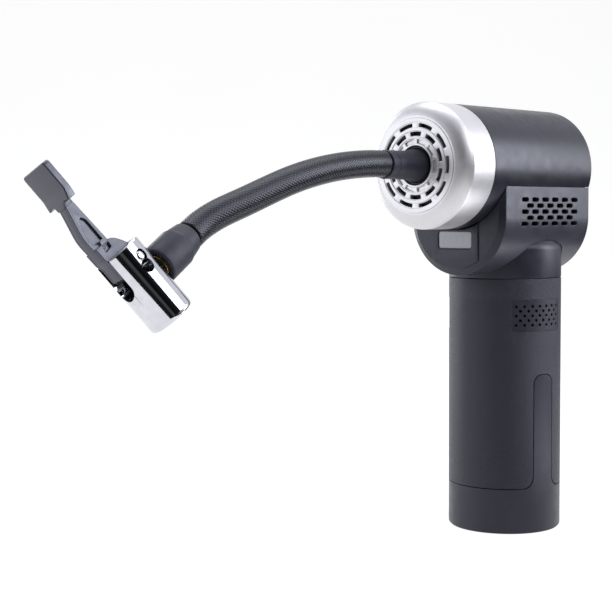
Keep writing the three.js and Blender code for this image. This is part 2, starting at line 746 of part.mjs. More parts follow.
const piston = join(
  rod(BORE_R - 0.35, "z", PISTON_TOP - 5, PISTON_TOP, [0, CYL_Y, 0], 18),
  block([-1.6, 1.6], [-25.6, -22.4], [PIN_Z, PISTON_TOP - 4.5]),
  rod(3.4, "y", -26, -22, [0, 0, PIN_Z], 14),
);
piece("piston", cut(piston, rod(1.6, "y", -30, -20, [0, 0, PIN_Z], 8)), "nylon");

// Outlet pipe from the cylinder head to the socket: a bent plastic tube.
function bentTube(route, r, bore, sides, steps) {
  const points = route.map((p) => new THREE.Vector3(...p));
  const curve = new THREE.CatmullRomCurve3(points, false, "centripetal");
  const outline = shapeOf(arc(0, 0, r, 0, 360, sides).slice(0, sides));
  if (bore) outline.holes.push(ringPath(bore, sides));
  return solid(new THREE.ExtrudeGeometry(outline, { steps, extrudePath: curve, bevelEnabled: false }));
}
const pipeZ = TOP_Z + 1.9;
piece(
  "outlet_pipe",
  bentTube(
    [
      [0, CYL_Y - 13.6, pipeZ],
      [0, -40, pipeZ - 0.6],
      [0, -42, pipeZ - 5],
      [0, -39.6, 181],
      [0, -38.6, 175.6],
      [0, -40.4, 173.6],
      [0, -43.7, HEAD_Z],
    ],
    2.1,
    0,
    6,
    14,
  ),
  "rubber",
);

// ---------- hose and its fittings ----------
const fitting = turned(
  [
    [3, -51.5],
    [5.2, -51.5],
    [5.2, -66.4],
    [7.3, -66.4],
    [7.5, -68.2],
    [7.2, -70.4],
    [6.7, -73.5],
    [6.35, -78],
    [6.2, -85.6],
    [5.4, -86.1],
    [3, -86.1],
  ].reverse(),
  "y",
  [0, 0, HEAD_Z],
  18,
);
piece("hose_fitting", fitting, "dark");
piece("hose_seal", tube(5, 2.9, "y", -51.2, -50.3, [0, 0, HEAD_Z], 16), "rubber");
piece(
  "hose_ferrule",
  turned(
    [[3, -90.9], [6.1, -90.9], [6.4, -90.4], [6.4, -87.3], [6.1, -86.4], [3, -86.4]],
    "y",
    [0, 0, HEAD_Z],
    16,
  ),
  "dark",
);
piece("hose_tube", bentTube(HOSE_ROUTE, HOSE_R, 0, 10, 14), "hose");

// ---------- chuck ----------
const SLEEVE_FROM = CHUCK_R + 0.8;
const SLEEVE_TO = SLEEVE_FROM + 20.3;
const sleeve = turned(
  [
    [5.2, SLEEVE_FROM],
    [7.75, SLEEVE_FROM],
    [7.75, SLEEVE_FROM + 13],
    [7.3, SLEEVE_FROM + 14.2],
    [6.35, SLEEVE_TO],
    [3, SLEEVE_TO],
    [3, SLEEVE_FROM + 6],
    [5.2, SLEEVE_FROM + 6],
  ],
  "y",
  [0, 0, 0],
  18,
);
piece("chuck_sleeve", sleeve, "dark", chuckFrame);
piece(
  "chuck_barb",
  turned(
    [
      [1.4, 6.8],
      [3.4, 6.8],
      [3.4, 9.75],
      [4.7, 9.75],
      [4.7, SLEEVE_FROM + 5.6],
      [2.7, SLEEVE_FROM + 5.6],
      [2.7, SLEEVE_FROM + 12],
      [1.4, SLEEVE_FROM + 12],
    ],
    "y",
    [0, 0, 0],
    14,
  ),
  "brass",
  chuckFrame,
);
const slotOutline = [
  ...arc(0, SLOT_END_Z, SLOT_HALF, 180, 360, 10),
  [SLOT_HALF, CHUCK_Z[1] + 2],
  [-SLOT_HALF, CHUCK_Z[1] + 2],
];
const chuckBody = cut(
  turned(
    [
      [0, CHUCK_Z[0]],
      [CHUCK_R - 1.6, CHUCK_Z[0]],
      [CHUCK_R - 0.5, CHUCK_Z[0] + 0.5],
      [CHUCK_R, CHUCK_Z[0] + 1.6],
      [CHUCK_R, CHUCK_Z[1] - 0.4],
      [CHUCK_R - 0.4, CHUCK_Z[1]],
      [0, CHUCK_Z[1]],
    ],
    "z",
    [0, 0, 0],
    24,
  ),
  // Stepped bore: valve opening, seal pocket, plunger guide.
  rod(4.6, "z", CHUCK_Z[0] - 1, -6, [0, 0, 0], 16),
  rod(6, "z", CHUCK_Z[0] + 3.8, -6, [0, 0, 0], 16),
  rod(4.6, "z", -6.1, 3, [0, 0, 0], 16),
  // Lever slot, open at the top and on the side away from the hose.
  prism(shapeOf(slotOutline), "y", -12, 6.4),
  rod(PIN_R + 0.08, "x", -12, 12, [0, PIN_AT[0], PIN_AT[1]], 12),
  rod(2.6, "x", 2, 12, [0, 0, 4.2], 12),
  rod(3.7, "y", 5, 12, [0, 0, 0], 12),
);
piece("chuck_body", chuckBody, "chrome", chuckFrame);
piece("chuck_pin", rod(PIN_R, "x", -8.4, 8.4, [0, PIN_AT[0], PIN_AT[1]], 12), "steel", chuckFrame);
piece("chuck_seal", tube(5.7, 3.6, "z", CHUCK_Z[0] + 4.1, -10.4, [0, 0, 0], 16), "rubber", chuckFrame);
const plunger = turned(
  [[1.2, -9.9], [5.6, -9.9], [5.6, -6.6], [4.3, -6.6], [4.3, -0.9], [1.2, -0.9]],
  "z",
  [0, 0, 0],
  14,
);
piece("chuck_plunger", plunger, "brass", chuckFrame);

// Lever: a cam between the slot's cheeks, a slim arm and a wide thumb paddle.
const CAM_HALF = 3.4;
const ARM_HALF = 2.4;
const PADDLE_HALF = 7.5;
const PADDLE_Z = [40, 55.9];
const camSide = shapeOf([
  [-6.4, 4.9],
  [-3, 4.2],
  [1.4, 4.0],
  [4.2, 5.6],
  [5.4, 8.4],
  [5.2, 13.4],
  [4.3, CHUCK_Z[1] + 0.5],
  [3, 16.9],
  [1.1, 19.2],
  [-1.1, 20.5],
  [-9.2, 20.5],
  [-9, CHUCK_Z[1] + 0.7],
  [-8.1, 12.6],
  [-8.1, 6.4],
]);
const armSide = shapeOf([
  [-0.9, 19.5],
  [-1.9, PADDLE_Z[0] + 1],
  [-5.1, PADDLE_Z[0] + 1],
  [-5.9, 39],
  [-9.6, 26],
  [-9.3, 20.5],
  [-9.2, 19.5],
]);
const paddleSide = shapeOf([
  [-2.1, PADDLE_Z[0]],
  [-2.1, PADDLE_Z[1]],
  [-5.1, PADDLE_Z[1]],
  [-5.1, PADDLE_Z[0] + 3.4],
  [-5.9, PADDLE_Z[0]],
]);
const lever = cut(
  join(
    prism(camSide, "x", -CAM_HALF, CAM_HALF),
    prism(armSide, "x", -ARM_HALF, ARM_HALF),
    prism(paddleSide, "x", -PADDLE_HALF, PADDLE_HALF),
  ),
  prism(stadium(-4.7, 26.5, 1.5, 1.2, 3), "x", ARM_HALF - 0.9, 5),
  rod(PIN_R + 0.1, "x", -12, 12, [0, PIN_AT[0], PIN_AT[1]], 12),
);
piece("chuck_lever", lever, "dark", chuckFrame);

export default pump;
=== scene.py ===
import json
import math

import bmesh
import bpy
import numpy as np
from mathutils import Matrix, Vector


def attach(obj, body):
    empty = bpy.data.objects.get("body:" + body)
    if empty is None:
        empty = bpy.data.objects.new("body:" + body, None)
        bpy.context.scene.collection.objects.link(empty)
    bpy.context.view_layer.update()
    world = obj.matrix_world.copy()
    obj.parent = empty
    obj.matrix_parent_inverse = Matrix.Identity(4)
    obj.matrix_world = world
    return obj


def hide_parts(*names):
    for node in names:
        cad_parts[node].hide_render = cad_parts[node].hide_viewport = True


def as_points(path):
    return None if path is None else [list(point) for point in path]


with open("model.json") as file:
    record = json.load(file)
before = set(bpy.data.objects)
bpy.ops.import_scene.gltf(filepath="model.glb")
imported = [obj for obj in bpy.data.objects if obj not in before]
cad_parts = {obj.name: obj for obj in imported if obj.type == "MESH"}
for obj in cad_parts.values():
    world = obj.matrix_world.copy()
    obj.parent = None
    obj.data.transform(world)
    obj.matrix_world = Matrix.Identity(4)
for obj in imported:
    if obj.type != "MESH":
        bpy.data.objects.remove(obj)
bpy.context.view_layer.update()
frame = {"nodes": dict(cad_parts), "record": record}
MM = 0.001
scene = bpy.context.scene

# ---- camera
CAMERA_AT = (0.4000, -0.5608, 0.1513)
CAMERA_HEADING = math.radians(43.582)
CAMERA_DIP = math.radians(3.6986)
CAMERA_ROLL = math.radians(-0.2865)
CAMERA_LENS = 82.46
SENSOR = 36.0

forward = Vector((
    -math.sin(CAMERA_HEADING) * math.cos(CAMERA_DIP),
    math.cos(CAMERA_HEADING) * math.cos(CAMERA_DIP),
    -math.sin(CAMERA_DIP),
))
level = Vector((math.cos(CAMERA_HEADING), math.sin(CAMERA_HEADING), 0))
above = level.cross(forward)
cam_x = level * math.cos(CAMERA_ROLL) + above * math.sin(CAMERA_ROLL)
cam_y = above * math.cos(CAMERA_ROLL) - level * math.sin(CAMERA_ROLL)
turn = Matrix((cam_x, cam_y, -forward)).transposed().to_4x4()
camera_data = bpy.data.cameras.new("camera")
camera_data.sensor_width = SENSOR
camera_data.lens = CAMERA_LENS
camera_data.clip_start = 0.01
camera_data.clip_end = 50
camera = bpy.data.objects.new("camera", camera_data)
camera.matrix_world = Matrix.Translation(CAMERA_AT) @ turn
scene.collection.objects.link(camera)
scene.camera = camera

# ---- sizes of the object, millimetres
GAP = 0.3  # clearance between neighbouring pieces
WALL = 2.2  # thickness of the moulded shells
END_R = 0.7  # rounding of barrel and housing at their ends
FACET = 0.95  # width of the facets of a shell that is wrapped round
HEAD_Z = 173.4
HEAD_R = 28.8
FACE_Y = -68.7
FACE_R = 21.2
BAND_Y = -47.6
REAR_Y = 31.6
LOBE_R = 27.3
LOBE_Z = 150.0
LOBE_TOP = 163.9
LOBE_Y = -36.9
PANEL_Y = -39.0
PANEL_R = 24.3
GRIP_R = 27.0
CORE_R = 24.5
SEAM_Z = 121.0
SPLIT_Z = 21.4
TONGUE_DEG = -11.0
TONGUE_HALF = 5.84
TONGUE_TOP_Z = 75.4
PATCH_DEG = -16.6
PATCH_HALF_DEG = 30.5
PATCH_Z = (96.2, 111.2)
HOSE_R = 6.0
WINDOW_Z = 139.6
BRAID_STRANDS = 24
BRAID_PITCH = 1.57
HOSE_ROUTE = [
    (0, -91.2, 173.6), (0, -101.5, 173.4), (0, -118, 172), (0, -133.8, 169.4), (0, -149.5, 165.5),
    (-0.7, -173.6, 157.2), (-1.4, -189.5, 151.5), (-1.4, -198.1, 147.4), (-0.4, -204.7, 143.6),
]
CHUCK_R = 9.35
CHUCK_Z = (-17.7, 14.3)
CHUCK_FRAME = Matrix.Translation((3.7, -231.3, 127.2)) @ (
    Matrix.Rotation(math.radians(8.8), 4, "Z")
    @ Matrix.Rotation(math.radians(31.6), 4, "X")
    @ Matrix.Rotation(math.radians(-25.3), 4, "Y")
)  # X along the pin, Y towards the hose, Z from mouth to lever


# ---- node materials
def srgb(r, g, b):
    """A display colour of 0 to 255 as the linear colour that a shader takes."""
    out = []
    for c in (r, g, b):
        c /= 255
        out.append(c / 12.92 if c <= 0.04045 else ((c + 0.055) / 1.055) ** 2.4)
    return tuple(out)


def add_node(tree, kind, inputs, **settings):
    """Adds a shader node with its settings. Inputs go by name or number: numbers, colours or sockets."""
    node = tree.nodes.new("ShaderNode" + kind)
    for name, value in settings.items():
        setattr(node, name, value)
    for key, value in inputs.items():
        feed(tree, node.inputs[key], value)
    return node


def feed(tree, socket, value):
    """Links a socket to an input, or sets the input to a number or colour."""
    if isinstance(value, bpy.types.NodeSocket):
        tree.links.new(value, socket)
    elif socket.type == "RGBA" and len(value) == 3:
        socket.default_value = (*value, 1)
    else:
        socket.default_value = value


class Paint:
    """Builds one node material. Lengths are millimetres."""

    def __init__(self, name):
        self.material = bpy.data.materials.new(name)
        self.material.use_nodes = True
        self.tree = self.material.node_tree
        coords = self.node("TexCoord", {})
        self.uv = coords.outputs["UV"]
        in_mm = {0: coords.outputs["Object"], "Scale": 1 / MM}
        self.mm = self.node("VectorMath", in_mm, operation="SCALE").outputs[0]

    def node(self, kind, inputs, **settings):
        return add_node(self.tree, kind, inputs, **settings)

    def math(self, operation, a, b=0.0):
        return self.node("Math", {0: a, 1: b}, operation=operation).outputs[0]

    def noise(self, size, detail=2.0, roughness=0.5, stretch=None):
        vector = self.mm
        if stretch:
            vector = self.node("Mapping", {"Vector": vector, "Scale": stretch}).outputs[0]
        inputs = {"Vector": vector, "Scale": 1 / size, "Detail": detail, "Roughness": roughness}
        return self.node("TexNoise", inputs).outputs["Fac"]

    def cells(self, size, feature="F1"):
        inputs = {"Vector": self.mm, "Scale": 1 / size}
        return self.node("TexVoronoi", inputs, feature=feature).outputs["Distance"]

    def remap(self, value, low, high, to_low=0.0, to_high=1.0):
        inputs = {"Value": value, "From Min": low, "From Max": high, "To Min": to_low, "To Max": to_high}
        return self.node("MapRange", inputs).outputs[0]

    def cloud(self, size, detail, most=1.0, low=0.35, high=0.65):
        """A cloudy share from 0 to most, in patches about size across."""
        return self.remap(self.noise(size, detail), low, high, 0, most)

    def ridges(self, phase):
        """Rises from 0 to 1 and falls back over each pi of the phase."""
        return self.math("ABSOLUTE", self.math("SINE", phase))

    def times(self, a, b):
        return self.math("MULTIPLY", a, b)

    def mix(self, share, a, b):
        return self.node("Mix", {0: share, 6: a, 7: b}, data_type="RGBA").outputs[2]

    def split(self, vector):
        return self.node("SeparateXYZ", {0: vector}).outputs

    def edge_wear(self):
        """0 on flat surfaces and 1 along exposed edges, broken up by a noise."""
        edge = self.remap(self.node("NewGeometry", {}).outputs["Pointiness"], 0.53, 0.6)
        return self.times(edge, self.remap(self.noise(2.5, 3), 0.35, 0.65, 0.15, 1))

    def bump(self, height, distance, strength=1.0, over=None):
        inputs = {"Height": height, "Distance": distance * MM, "Strength": strength}
        if over is not None:
            inputs["Normal"] = over
        return self.node("Bump", inputs).outputs[0]

    def finish(self, color, roughness, normal, **constants):
        shader = self.tree.nodes["Principled BSDF"]
        inputs = {"Base_Color": color, "Roughness": roughness, "Normal": normal, **constants}
        for name, value in inputs.items():
            feed(self.tree, shader.inputs[name.replace("_", " ")], value)
        return self.material


GLOSS_TINT = (0.86, 0.88, 1.0, 1)  # the faint blue cast of the black plastics' gloss


def shades(color, spread):
    """A colour a little darker, and a little lighter."""
    return tuple(c * (1 - spread) for c in color), tuple(min(1, c * (1 + spread)) for c in color)


def moulded(name, color, roughness, grain=0.35, depth=0.02, spread=0.08, worn=0.35, gloss=0.5):
    """Moulded plastic: fine spark texture, faint flow blotches, lighter rubbed edges."""
    p = Paint(name)
    rubbed = tuple(c + (1 - c) * 0.12 for c in color)
    base = p.mix(p.cloud(14, 3), *shades(color, spread))
    base = p.mix(p.times(p.edge_wear(), worn), base, rubbed)
    rough = p.remap(p.noise(5, 4), 0.3, 0.7, roughness - 0.05, roughness + 0.06)
    texture = p.bump(p.noise(grain, 2), depth, 0.6)
    return p.finish(base, rough, texture, Specular_Tint=GLOSS_TINT, Specular_IOR_Level=gloss)


def metal(name, color, roughness, stretch=None, grain=0.5, depth=0.006):
    """Bare or plated metal: faint draw lines or grain, and slightly uneven polish."""
    p = Paint(name)
    base = p.mix(p.cloud(6, 3), *shades(color, 0.05))
    lines = p.noise(grain, 3, 0.6, stretch)
    rough = p.remap(lines, 0.3, 0.7, roughness * 0.8, roughness * 1.25)
    return p.finish(base, rough, p.bump(lines, depth, 0.5), Metallic=1.0)


def silver_paint():
    """Satin silver: a fine grain under a soft cloudy tone."""
    p = Paint("silver_satin")
    base = p.mix(p.cloud(0.35, 2), srgb(207, 205, 207), srgb(219, 217, 218))
    base = p.mix(p.cloud(18, 2, 0.3, 0.4, 0.6), base, srgb(201, 199, 202))
    rough = p.remap(p.noise(3, 4), 0.3, 0.7, 0.4, 0.46)
    return p.finish(base, rough, p.bump(p.noise(0.4, 2), 0.004, 0.5), Metallic=0.85)


def grip_material():
    """Fine diamond knurl pressed round the handle, with painted shade in its grooves."""
    p = Paint("grip_knurl")
    x, y, z = p.split(p.mm)
    pitch = 1.18
    round_mm = p.times(p.math("ARCTAN2", y, x), GRIP_R)
    ridge_a = p.ridges(p.times(p.math("ADD", round_mm, z), math.pi / pitch))
    ridge_b = p.ridges(p.times(p.math("SUBTRACT", round_mm, z), math.pi / pitch))
    lattice = p.times(ridge_a, ridge_b)
    # Painted shade: the knurl's grooves are painted near black and its ridge tops lighter.
    base = p.mix(p.remap(lattice, 0.05, 0.6), srgb(3, 3, 6), srgb(33, 33, 45))
    base = p.mix(p.cloud(16, 3, 0.25), base, srgb(17, 17, 25))
    base = p.mix(p.times(p.edge_wear(), 0.25), base, srgb(48, 48, 58))
    rough = p.remap(lattice, 0, 1, 0.55, 0.34)
    skin = p.bump(p.noise(0.3, 2), 0.02, 0.4, p.bump(lattice, 0.18, 0.7))
    return p.finish(base, rough, skin, Specular_Tint=GLOSS_TINT)


def hose_material():
    """Braided sleeve: threads of two crossing helices over a rubber tube, with painted shade where the
    strands dip and a painted sheen along the fibres.
    """
    p = Paint("hose_braid")
    u, v, _ = p.split(p.uv)
    turns = p.times(u, 2 * math.pi * BRAID_STRANDS)
    along = p.times(v, 2 * math.pi)
    one_way = p.math("ADD", turns, along)
    other_way = p.math("SUBTRACT", turns, along)
    weave = p.times(p.ridges(p.times(one_way, 0.5)), p.ridges(p.times(other_way, 0.5)))
    fibre = p.ridges(p.times(one_way, 2.0))
    # Painted shade: the braid is painted near black where its strands dip between crossings.
    base = p.mix(p.remap(weave, 0.02, 0.75), srgb(2, 2, 4), srgb(13, 13, 19))
    # Painted sheen: a little lighter along the fibre lines.
    base = p.mix(p.remap(fibre, 0, 1, 0, 0.13), base, srgb(30, 30, 38))
    base = p.mix(p.cloud(9, 3, 0.25), base, srgb(12, 12, 17))
    rough = p.remap(weave, 0, 1, 0.4, 0.17)
    skin = p.bump(fibre, 0.02, 0.3, p.bump(weave, 0.06, 0.5))
    return p.finish(base, rough, skin, Specular_Tint=GLOSS_TINT, Specular_IOR_Level=0.38)


def chrome():
    """Bright plating with a faint ripple and smears of polish."""
    p = Paint("chrome_plate")
    base = p.mix(p.cloud(4, 4), srgb(203, 203, 209), srgb(213, 213, 218))
    rough = p.remap(p.noise(1.5, 5), 0.3, 0.7, 0.035, 0.09)
    ripple = p.bump(p.noise(7, 1), 0.02, 0.5)
    return p.finish(base, rough, p.bump(p.noise(0.7, 3), 0.002, 0.5, ripple), Metallic=1.0)


def lcd():
    """A dead segment display behind a clear window: pale grey, with ghost bars."""
    p = Paint("lcd_glass")
    x, _, z = p.split(p.mm)
    # Painted shading: the glass is painted a little darker towards -x and lighter towards +x.
    base = p.mix(p.remap(x, -9, 9), srgb(124, 127, 134), srgb(136, 137, 142))
    bars = p.math("GREATER_THAN", p.math("SINE", p.times(x, 1.7)), 0.45)
    rows = p.math("LESS_THAN", p.math("ABSOLUTE", p.math("SUBTRACT", z, WINDOW_Z)), 1.9)
    base = p.mix(p.times(p.times(bars, rows), 0.08), base, srgb(92, 94, 101))
    base = p.mix(p.cloud(3, 3, 0.2, 0.4, 0.7), base, srgb(134, 133, 136))
    rough = p.remap(p.noise(2, 3), 0.3, 0.7, 0.12, 0.2)
    return p.finish(base, rough, p.bump(p.noise(1.2, 2), 0.004, 0.4), Coat_Weight=0.6)


def circuit():
    """Green solder mask with copper runs and pads."""
    p = Paint("circuit_board")
    lanes = p.remap(p.cells(1.6, "DISTANCE_TO_EDGE"), 0.02, 0.06, 1, 0)
    base = p.mix(p.cloud(3, 2), (0.012, 0.09, 0.045), (0.02, 0.14, 0.07))
    base = p.mix(p.times(lanes, 0.5), base, (0.09, 0.3, 0.14))
    pads = p.remap(p.cells(2.3), 0.1, 0.14, 1, 0)
    base = p.mix(pads, base, (0.55, 0.42, 0.2))
    return p.finish(base, p.remap(pads, 0, 1, 0.45, 0.3), p.bump(lanes, 0.03, 0.5))


def cell_wrap():
    """Blue shrink wrap with bare metal ends."""
    p = Paint("cell_wrap")
    _, _, z = p.split(p.mm)
    cell_middle, wrap_half = 42.8, 32.2
    shrink = p.noise(2.2, 3, 0.5, (1, 1, 0.12))
    base = p.mix(p.remap(shrink, 0.35, 0.65), srgb(44, 92, 142), srgb(66, 122, 176))
    ends = p.math("GREATER_THAN", p.math("ABSOLUTE", p.math("SUBTRACT", z, cell_middle)), wrap_half)
    base = p.mix(ends, base, srgb(188, 190, 194))
    return p.finish(base, p.remap(shrink, 0.3, 0.7, 0.25, 0.42), p.bump(shrink, 0.05, 0.5))


def screen_mesh():
    """Dark woven dust screen."""
    p = Paint("screen_mesh")
    x, _, z = p.split(p.mm)
    pitch = 0.5
    warp, weft = (p.ridges(p.times(across, math.pi / pitch)) for across in (x, z))
    wire = p.math("MAXIMUM", warp, weft)
    base = p.mix(p.remap(wire, 0.6, 1), srgb(14, 14, 17), srgb(36, 36, 41))
    return p.finish(base, p.remap(wire, 0.6, 1, 0.9, 0.6), p.bump(wire, 0.1, 0.7))


PAINT = {
    "silver": silver_paint(),
    "barrel": moulded("barrel_plastic", srgb(22, 22, 31), 0.34, 0.3, 0.004, worn=0.15),
    "panel": moulded("panel_plastic", srgb(20, 20, 29), 0.4, 0.3, 0.012, worn=0.2),
    "body": moulded("body_plastic", srgb(25, 25, 33), 0.4, 0.35, 0.015, worn=0.2),
    "housing": moulded("housing_plastic", srgb(44, 44, 52), 0.34, 0.3, 0.012, worn=0.2),
    "dark": moulded("dark_plastic", srgb(13, 13, 18), 0.5, 0.3, 0.016, worn=0.2),
    "lever": moulded("lever_plastic", srgb(44, 45, 54), 0.31, 0.28, 0.014, worn=0.3, gloss=1.0),
    "sleeve": moulded("sleeve_rubber", srgb(30, 30, 40), 0.5, 0.24, 0.025, worn=0.2),
    "patch": moulded("patch_plastic", srgb(24, 24, 32), 0.5, 0.3, 0.02, worn=0.1),
    "key": moulded("key_rubber", srgb(20, 20, 23), 0.6, 0.25, 0.02),
    "mark": moulded("key_mark", srgb(206, 206, 210), 0.5, 0.25, 0.01),
    "rubber": moulded("soft_rubber", srgb(30, 30, 33), 0.7, 0.3, 0.03),
    "nylon": moulded("nylon", srgb(222, 219, 208), 0.42, 0.5, 0.02, 0.04),
    "chip": moulded("chip_resin", srgb(30, 30, 33), 0.45, 0.3, 0.02),
    "grip": grip_material(),
    "hose": hose_material(),
    "chrome": chrome(),
    "brass": metal("brass", srgb(226, 184, 104), 0.24, grain=0.8),
    "steel": metal("steel", srgb(196, 197, 200), 0.3, (1, 6, 1), 0.6),
    "alloy": metal("cast_alloy", srgb(182, 184, 188), 0.46, None, 0.4, 0.02),
    "lcd": lcd(),
    "board": circuit(),
    "cell": cell_wrap(),
    "screen": screen_mesh(),
}
SLOT_PAINT = {
    "dark_plastic": "dark",
    "body_plastic": "body",
    "housing_plastic": "housing",
    "lens": "lcd",
    "grip_rubber": "grip",
    "soft_tube": "rubber",
    "hose_braid": "hose",
    "plated_alloy": "chrome",
}  # every other slot has a paint of its own name
NODE_SLOT = {s["node"]: s["material_slot"] for s in frame["record"]["subparts"]}


# ---- mesh helpers, millimetres
def rounded(points, radii, steps=4, closed=True):
    """A polyline with its corners rounded; radii is one number or one for each corner."""
    out = []
    count = len(points)
    for i, point in enumerate(points):
        radius = radii[i] if isinstance(radii, (list, tuple)) else radii
        end = not closed and i in (0, count - 1)
        before = Vector(points[i - 1]) - Vector(point)
        after = Vector(points[(i + 1) % count]) - Vector(point)
        reach = min(radius, 0.49 * before.length, 0.49 * after.length)
        if end or reach < 1e-4:
            out.append(tuple(point))
            continue
        start = Vector(point) + before.normalized() * reach
        stop = Vector(point) + after.normalized() * reach
        for k in range(steps + 1):
            t = k / steps
            bend = start * (1 - t) ** 2 + Vector(point) * (2 * t * (1 - t)) + stop * t * t
            out.append(tuple(bend))
    return out


def arc(cx, cy, r, start, end, steps):
    step = math.radians(end - start) / steps
    first = math.radians(start)
    return [
        (cx + r * math.cos(first + step * i), cy + r * math.sin(first + step * i))
        for i in range(steps + 1)
    ]


def stadium(cx, cy, half_length, half_width, steps=8):
    reach = half_length - half_width
    right = arc(cx + reach, cy, half_width, -90, 90, steps)
    left = arc(cx - reach, cy, half_width, 90, 270, steps)
    return right + left


def circle(cx, cy, r, steps=32):
    return arc(cx, cy, r, 0, 360, steps)[:-1]


def box_outline(cx, cy, half_x, half_y, r, steps=5):
    corners = [
        (cx + half_x, cy - half_y),
        (cx + half_x, cy + half_y),
        (cx - half_x, cy + half_y),
        (cx - half_x, cy - half_y),
    ]
    return rounded(corners, r, steps)


def add_object(name, bm):
    """Turns a bmesh into an object of the scene."""
    mesh = bpy.data.meshes.new(name)
    bm.to_mesh(mesh)
    bm.free()
    obj = bpy.data.objects.new(name, mesh)
    scene.collection.objects.link(obj)
    return obj


def piece(name, bm, material, slot, *nodes, body="pump", matrix=None, angle=35, over=None):
    """A finished object from a bmesh in millimetres, smooth with sharp edges, riding on its body. It replaces
    the CAD nodes named; matrix places it, and the shape function over bends it over a curved surface."""
    normals = wrap(bm, over) if over else None
    if matrix is not None:
        bm.transform(matrix)
    bm.transform(Matrix.Scale(MM, 4))
    if normals is None:
        bmesh.ops.recalc_face_normals(bm, faces=bm.faces)
    for face in bm.faces:
        face.smooth = True
    limit = math.radians(angle)
    for edge in bm.edges:
        edge.smooth = len(edge.link_faces) == 2 and edge.calc_face_angle(0) <= limit
    obj = add_object(name, bm)
    if normals is not None:
        obj.data.normals_split_custom_set(normals)
    obj.data.materials.append(PAINT[material])
    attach(obj, body)
    if nodes:
        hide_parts(*nodes)
    return obj


def lathe(profile, radii=0.3, axis="y", at=(0, 0, 0), segments=96, closed=True, steps=4):
    """A profile of (radius, station) turned about an axis. An open profile starts and ends on the axis."""
    points = rounded(profile, radii, steps, closed)
    bm = bmesh.new()
    rings = []
    for r, s in points:
        if r < 1e-6:
            rings.append([bm.verts.new((0, 0, s))])
            continue
        ring = []
        for k in range(segments):
            t = 2 * math.pi * k / segments
            ring.append(bm.verts.new((r * math.cos(t), r * math.sin(t), s)))
        rings.append(ring)
    pairs = list(zip(rings, rings[1:]))
    if closed:
        pairs.append((rings[-1], rings[0]))
    for low, high in pairs:
        for k in range(segments):
            n = (k + 1) % segments
            corners = [low[k % len(low)], low[n % len(low)], high[n % len(high)], high[k % len(high)]]
            unique = list(dict.fromkeys(corners))
            if len(unique) > 2:
                bm.faces.new(unique)
    turn_to = {
        "z": Matrix.Identity(4),
        "y": Matrix.Rotation(math.radians(-90), 4, "X"),
        "x": Matrix.Rotation(math.radians(90), 4, "Y"),
    }[axis]
    bm.transform(Matrix.Translation(at) @ turn_to)
    return bm


def plate(outline, holes=(), thickness=2.0, bevel=0.2, steps=2, cuts_a=(), cuts_b=()):
    """A flat plate (a, b, depth) with rounded edges: its face is at depth 0 and its back at -thickness."""
    curve = bpy.data.curves.new("outline", "CURVE")
    curve.dimensions = "2D"
    curve.fill_mode = "BOTH"
    curve.extrude = thickness / 2 - bevel
    curve.bevel_depth = bevel
    curve.bevel_resolution = steps
    curve.offset = -bevel
    for loop in [outline, *holes]:
        spline = curve.splines.new("POLY")
        spline.points.add(len(loop) - 1)
        for point, (a, b) in zip(spline.points, loop):
            point.co = (a, b, 0, 1)
        spline.use_cyclic_u = True
    obj = bpy.data.objects.new("outline", curve)
    scene.collection.objects.link(obj)
    ready = bpy.context.evaluated_depsgraph_get()
    mesh = bpy.data.meshes.new_from_object(obj.evaluated_get(ready))
    bm = bmesh.new()
    bm.from_mesh(mesh)
    bpy.data.objects.remove(obj)
    bpy.data.curves.remove(curve)
    bpy.data.meshes.remove(mesh)
    bmesh.ops.remove_doubles(bm, verts=bm.verts, dist=1e-4)
    bm.transform(Matrix.Translation((0, 0, -thickness / 2)))
    for axis, cuts in enumerate((cuts_a, cuts_b)):
        direction = (1, 0, 0) if axis == 0 else (0, 1, 0)
        for cut in cuts:
            bmesh.ops.bisect_plane(
                bm,
                geom=bm.verts[:] + bm.edges[:] + bm.faces[:],
                plane_co=[cut * d for d in direction],
                plane_no=direction,
            )
    bmesh.ops.recalc_face_normals(bm, faces=bm.faces)
    return bm


def facing(bm, axis_y, mirror=False):
    """Stands a plate drawn in (x, z) at y = axis_y, facing -Y, or +Y when mirrored."""
    sign = 1 if mirror else -1
    for v in bm.verts:
        a, b, d = v.co
        v.co = (a, axis_y + sign * d, b)
    return bm


def side_plate(outline, holes, x_face, thickness, bevel, sign=1, steps=3):
    """A plate drawn in (y, z), with its face at x = x_face, or mirrored to the other side."""
    bm = plate(outline, holes, thickness, bevel, steps)
    for v in bm.verts:
        a, b, d = v.co
        v.co = (sign * (x_face + d), a, b)
    return bm


def wrap(bm, shape):
    """Bends a plate over a surface, where shape(a, b, depth) gives the point, and returns its normals."""
    flat = [tuple(v.co) for v in bm.verts]

    def outward(vert):
        a, b, d = flat[vert.index]
        return Vector(shape(a, b, 0.5)) - Vector(shape(a, b, d))

    def on_skin(face):
        return min(flat[v.index][2] for v in face.verts) > -1e-4

    for v in bm.verts:
        v.co = shape(*v.co)
    bm.verts.index_update()
    bm.normal_update()
    out = 0
    for face in filter(on_skin, bm.faces):
        out += 1 if face.normal.dot(outward(face.verts[0])) > 0 else -1
    if out < 0:
        bmesh.ops.reverse_faces(bm, faces=bm.faces)
    keep = []
    for face in bm.faces:
        skin = on_skin(face)
        keep += [tuple(outward(loop.vert).normalized()) if skin else (0, 0, 0) for loop in face.loops]
    return keep


def cylinder_z(radius):
    """Wraps (arc length, z) round the handle."""

    def shape(a, b, d):
        t = a / radius
        return ((radius + d) * math.cos(t), (radius + d) * math.sin(t), b)

    return shape


def steps_between(low, high, step):
    """Evenly spaced stations between two ends, about a step apart."""
    count = max(1, int(round((high - low) / step)))
    return [low + (high - low) * i / count for i in range(1, count)]


def degrees_to_mm(deg, radius):
    """The length of an arc."""
    return math.radians(deg) * radius


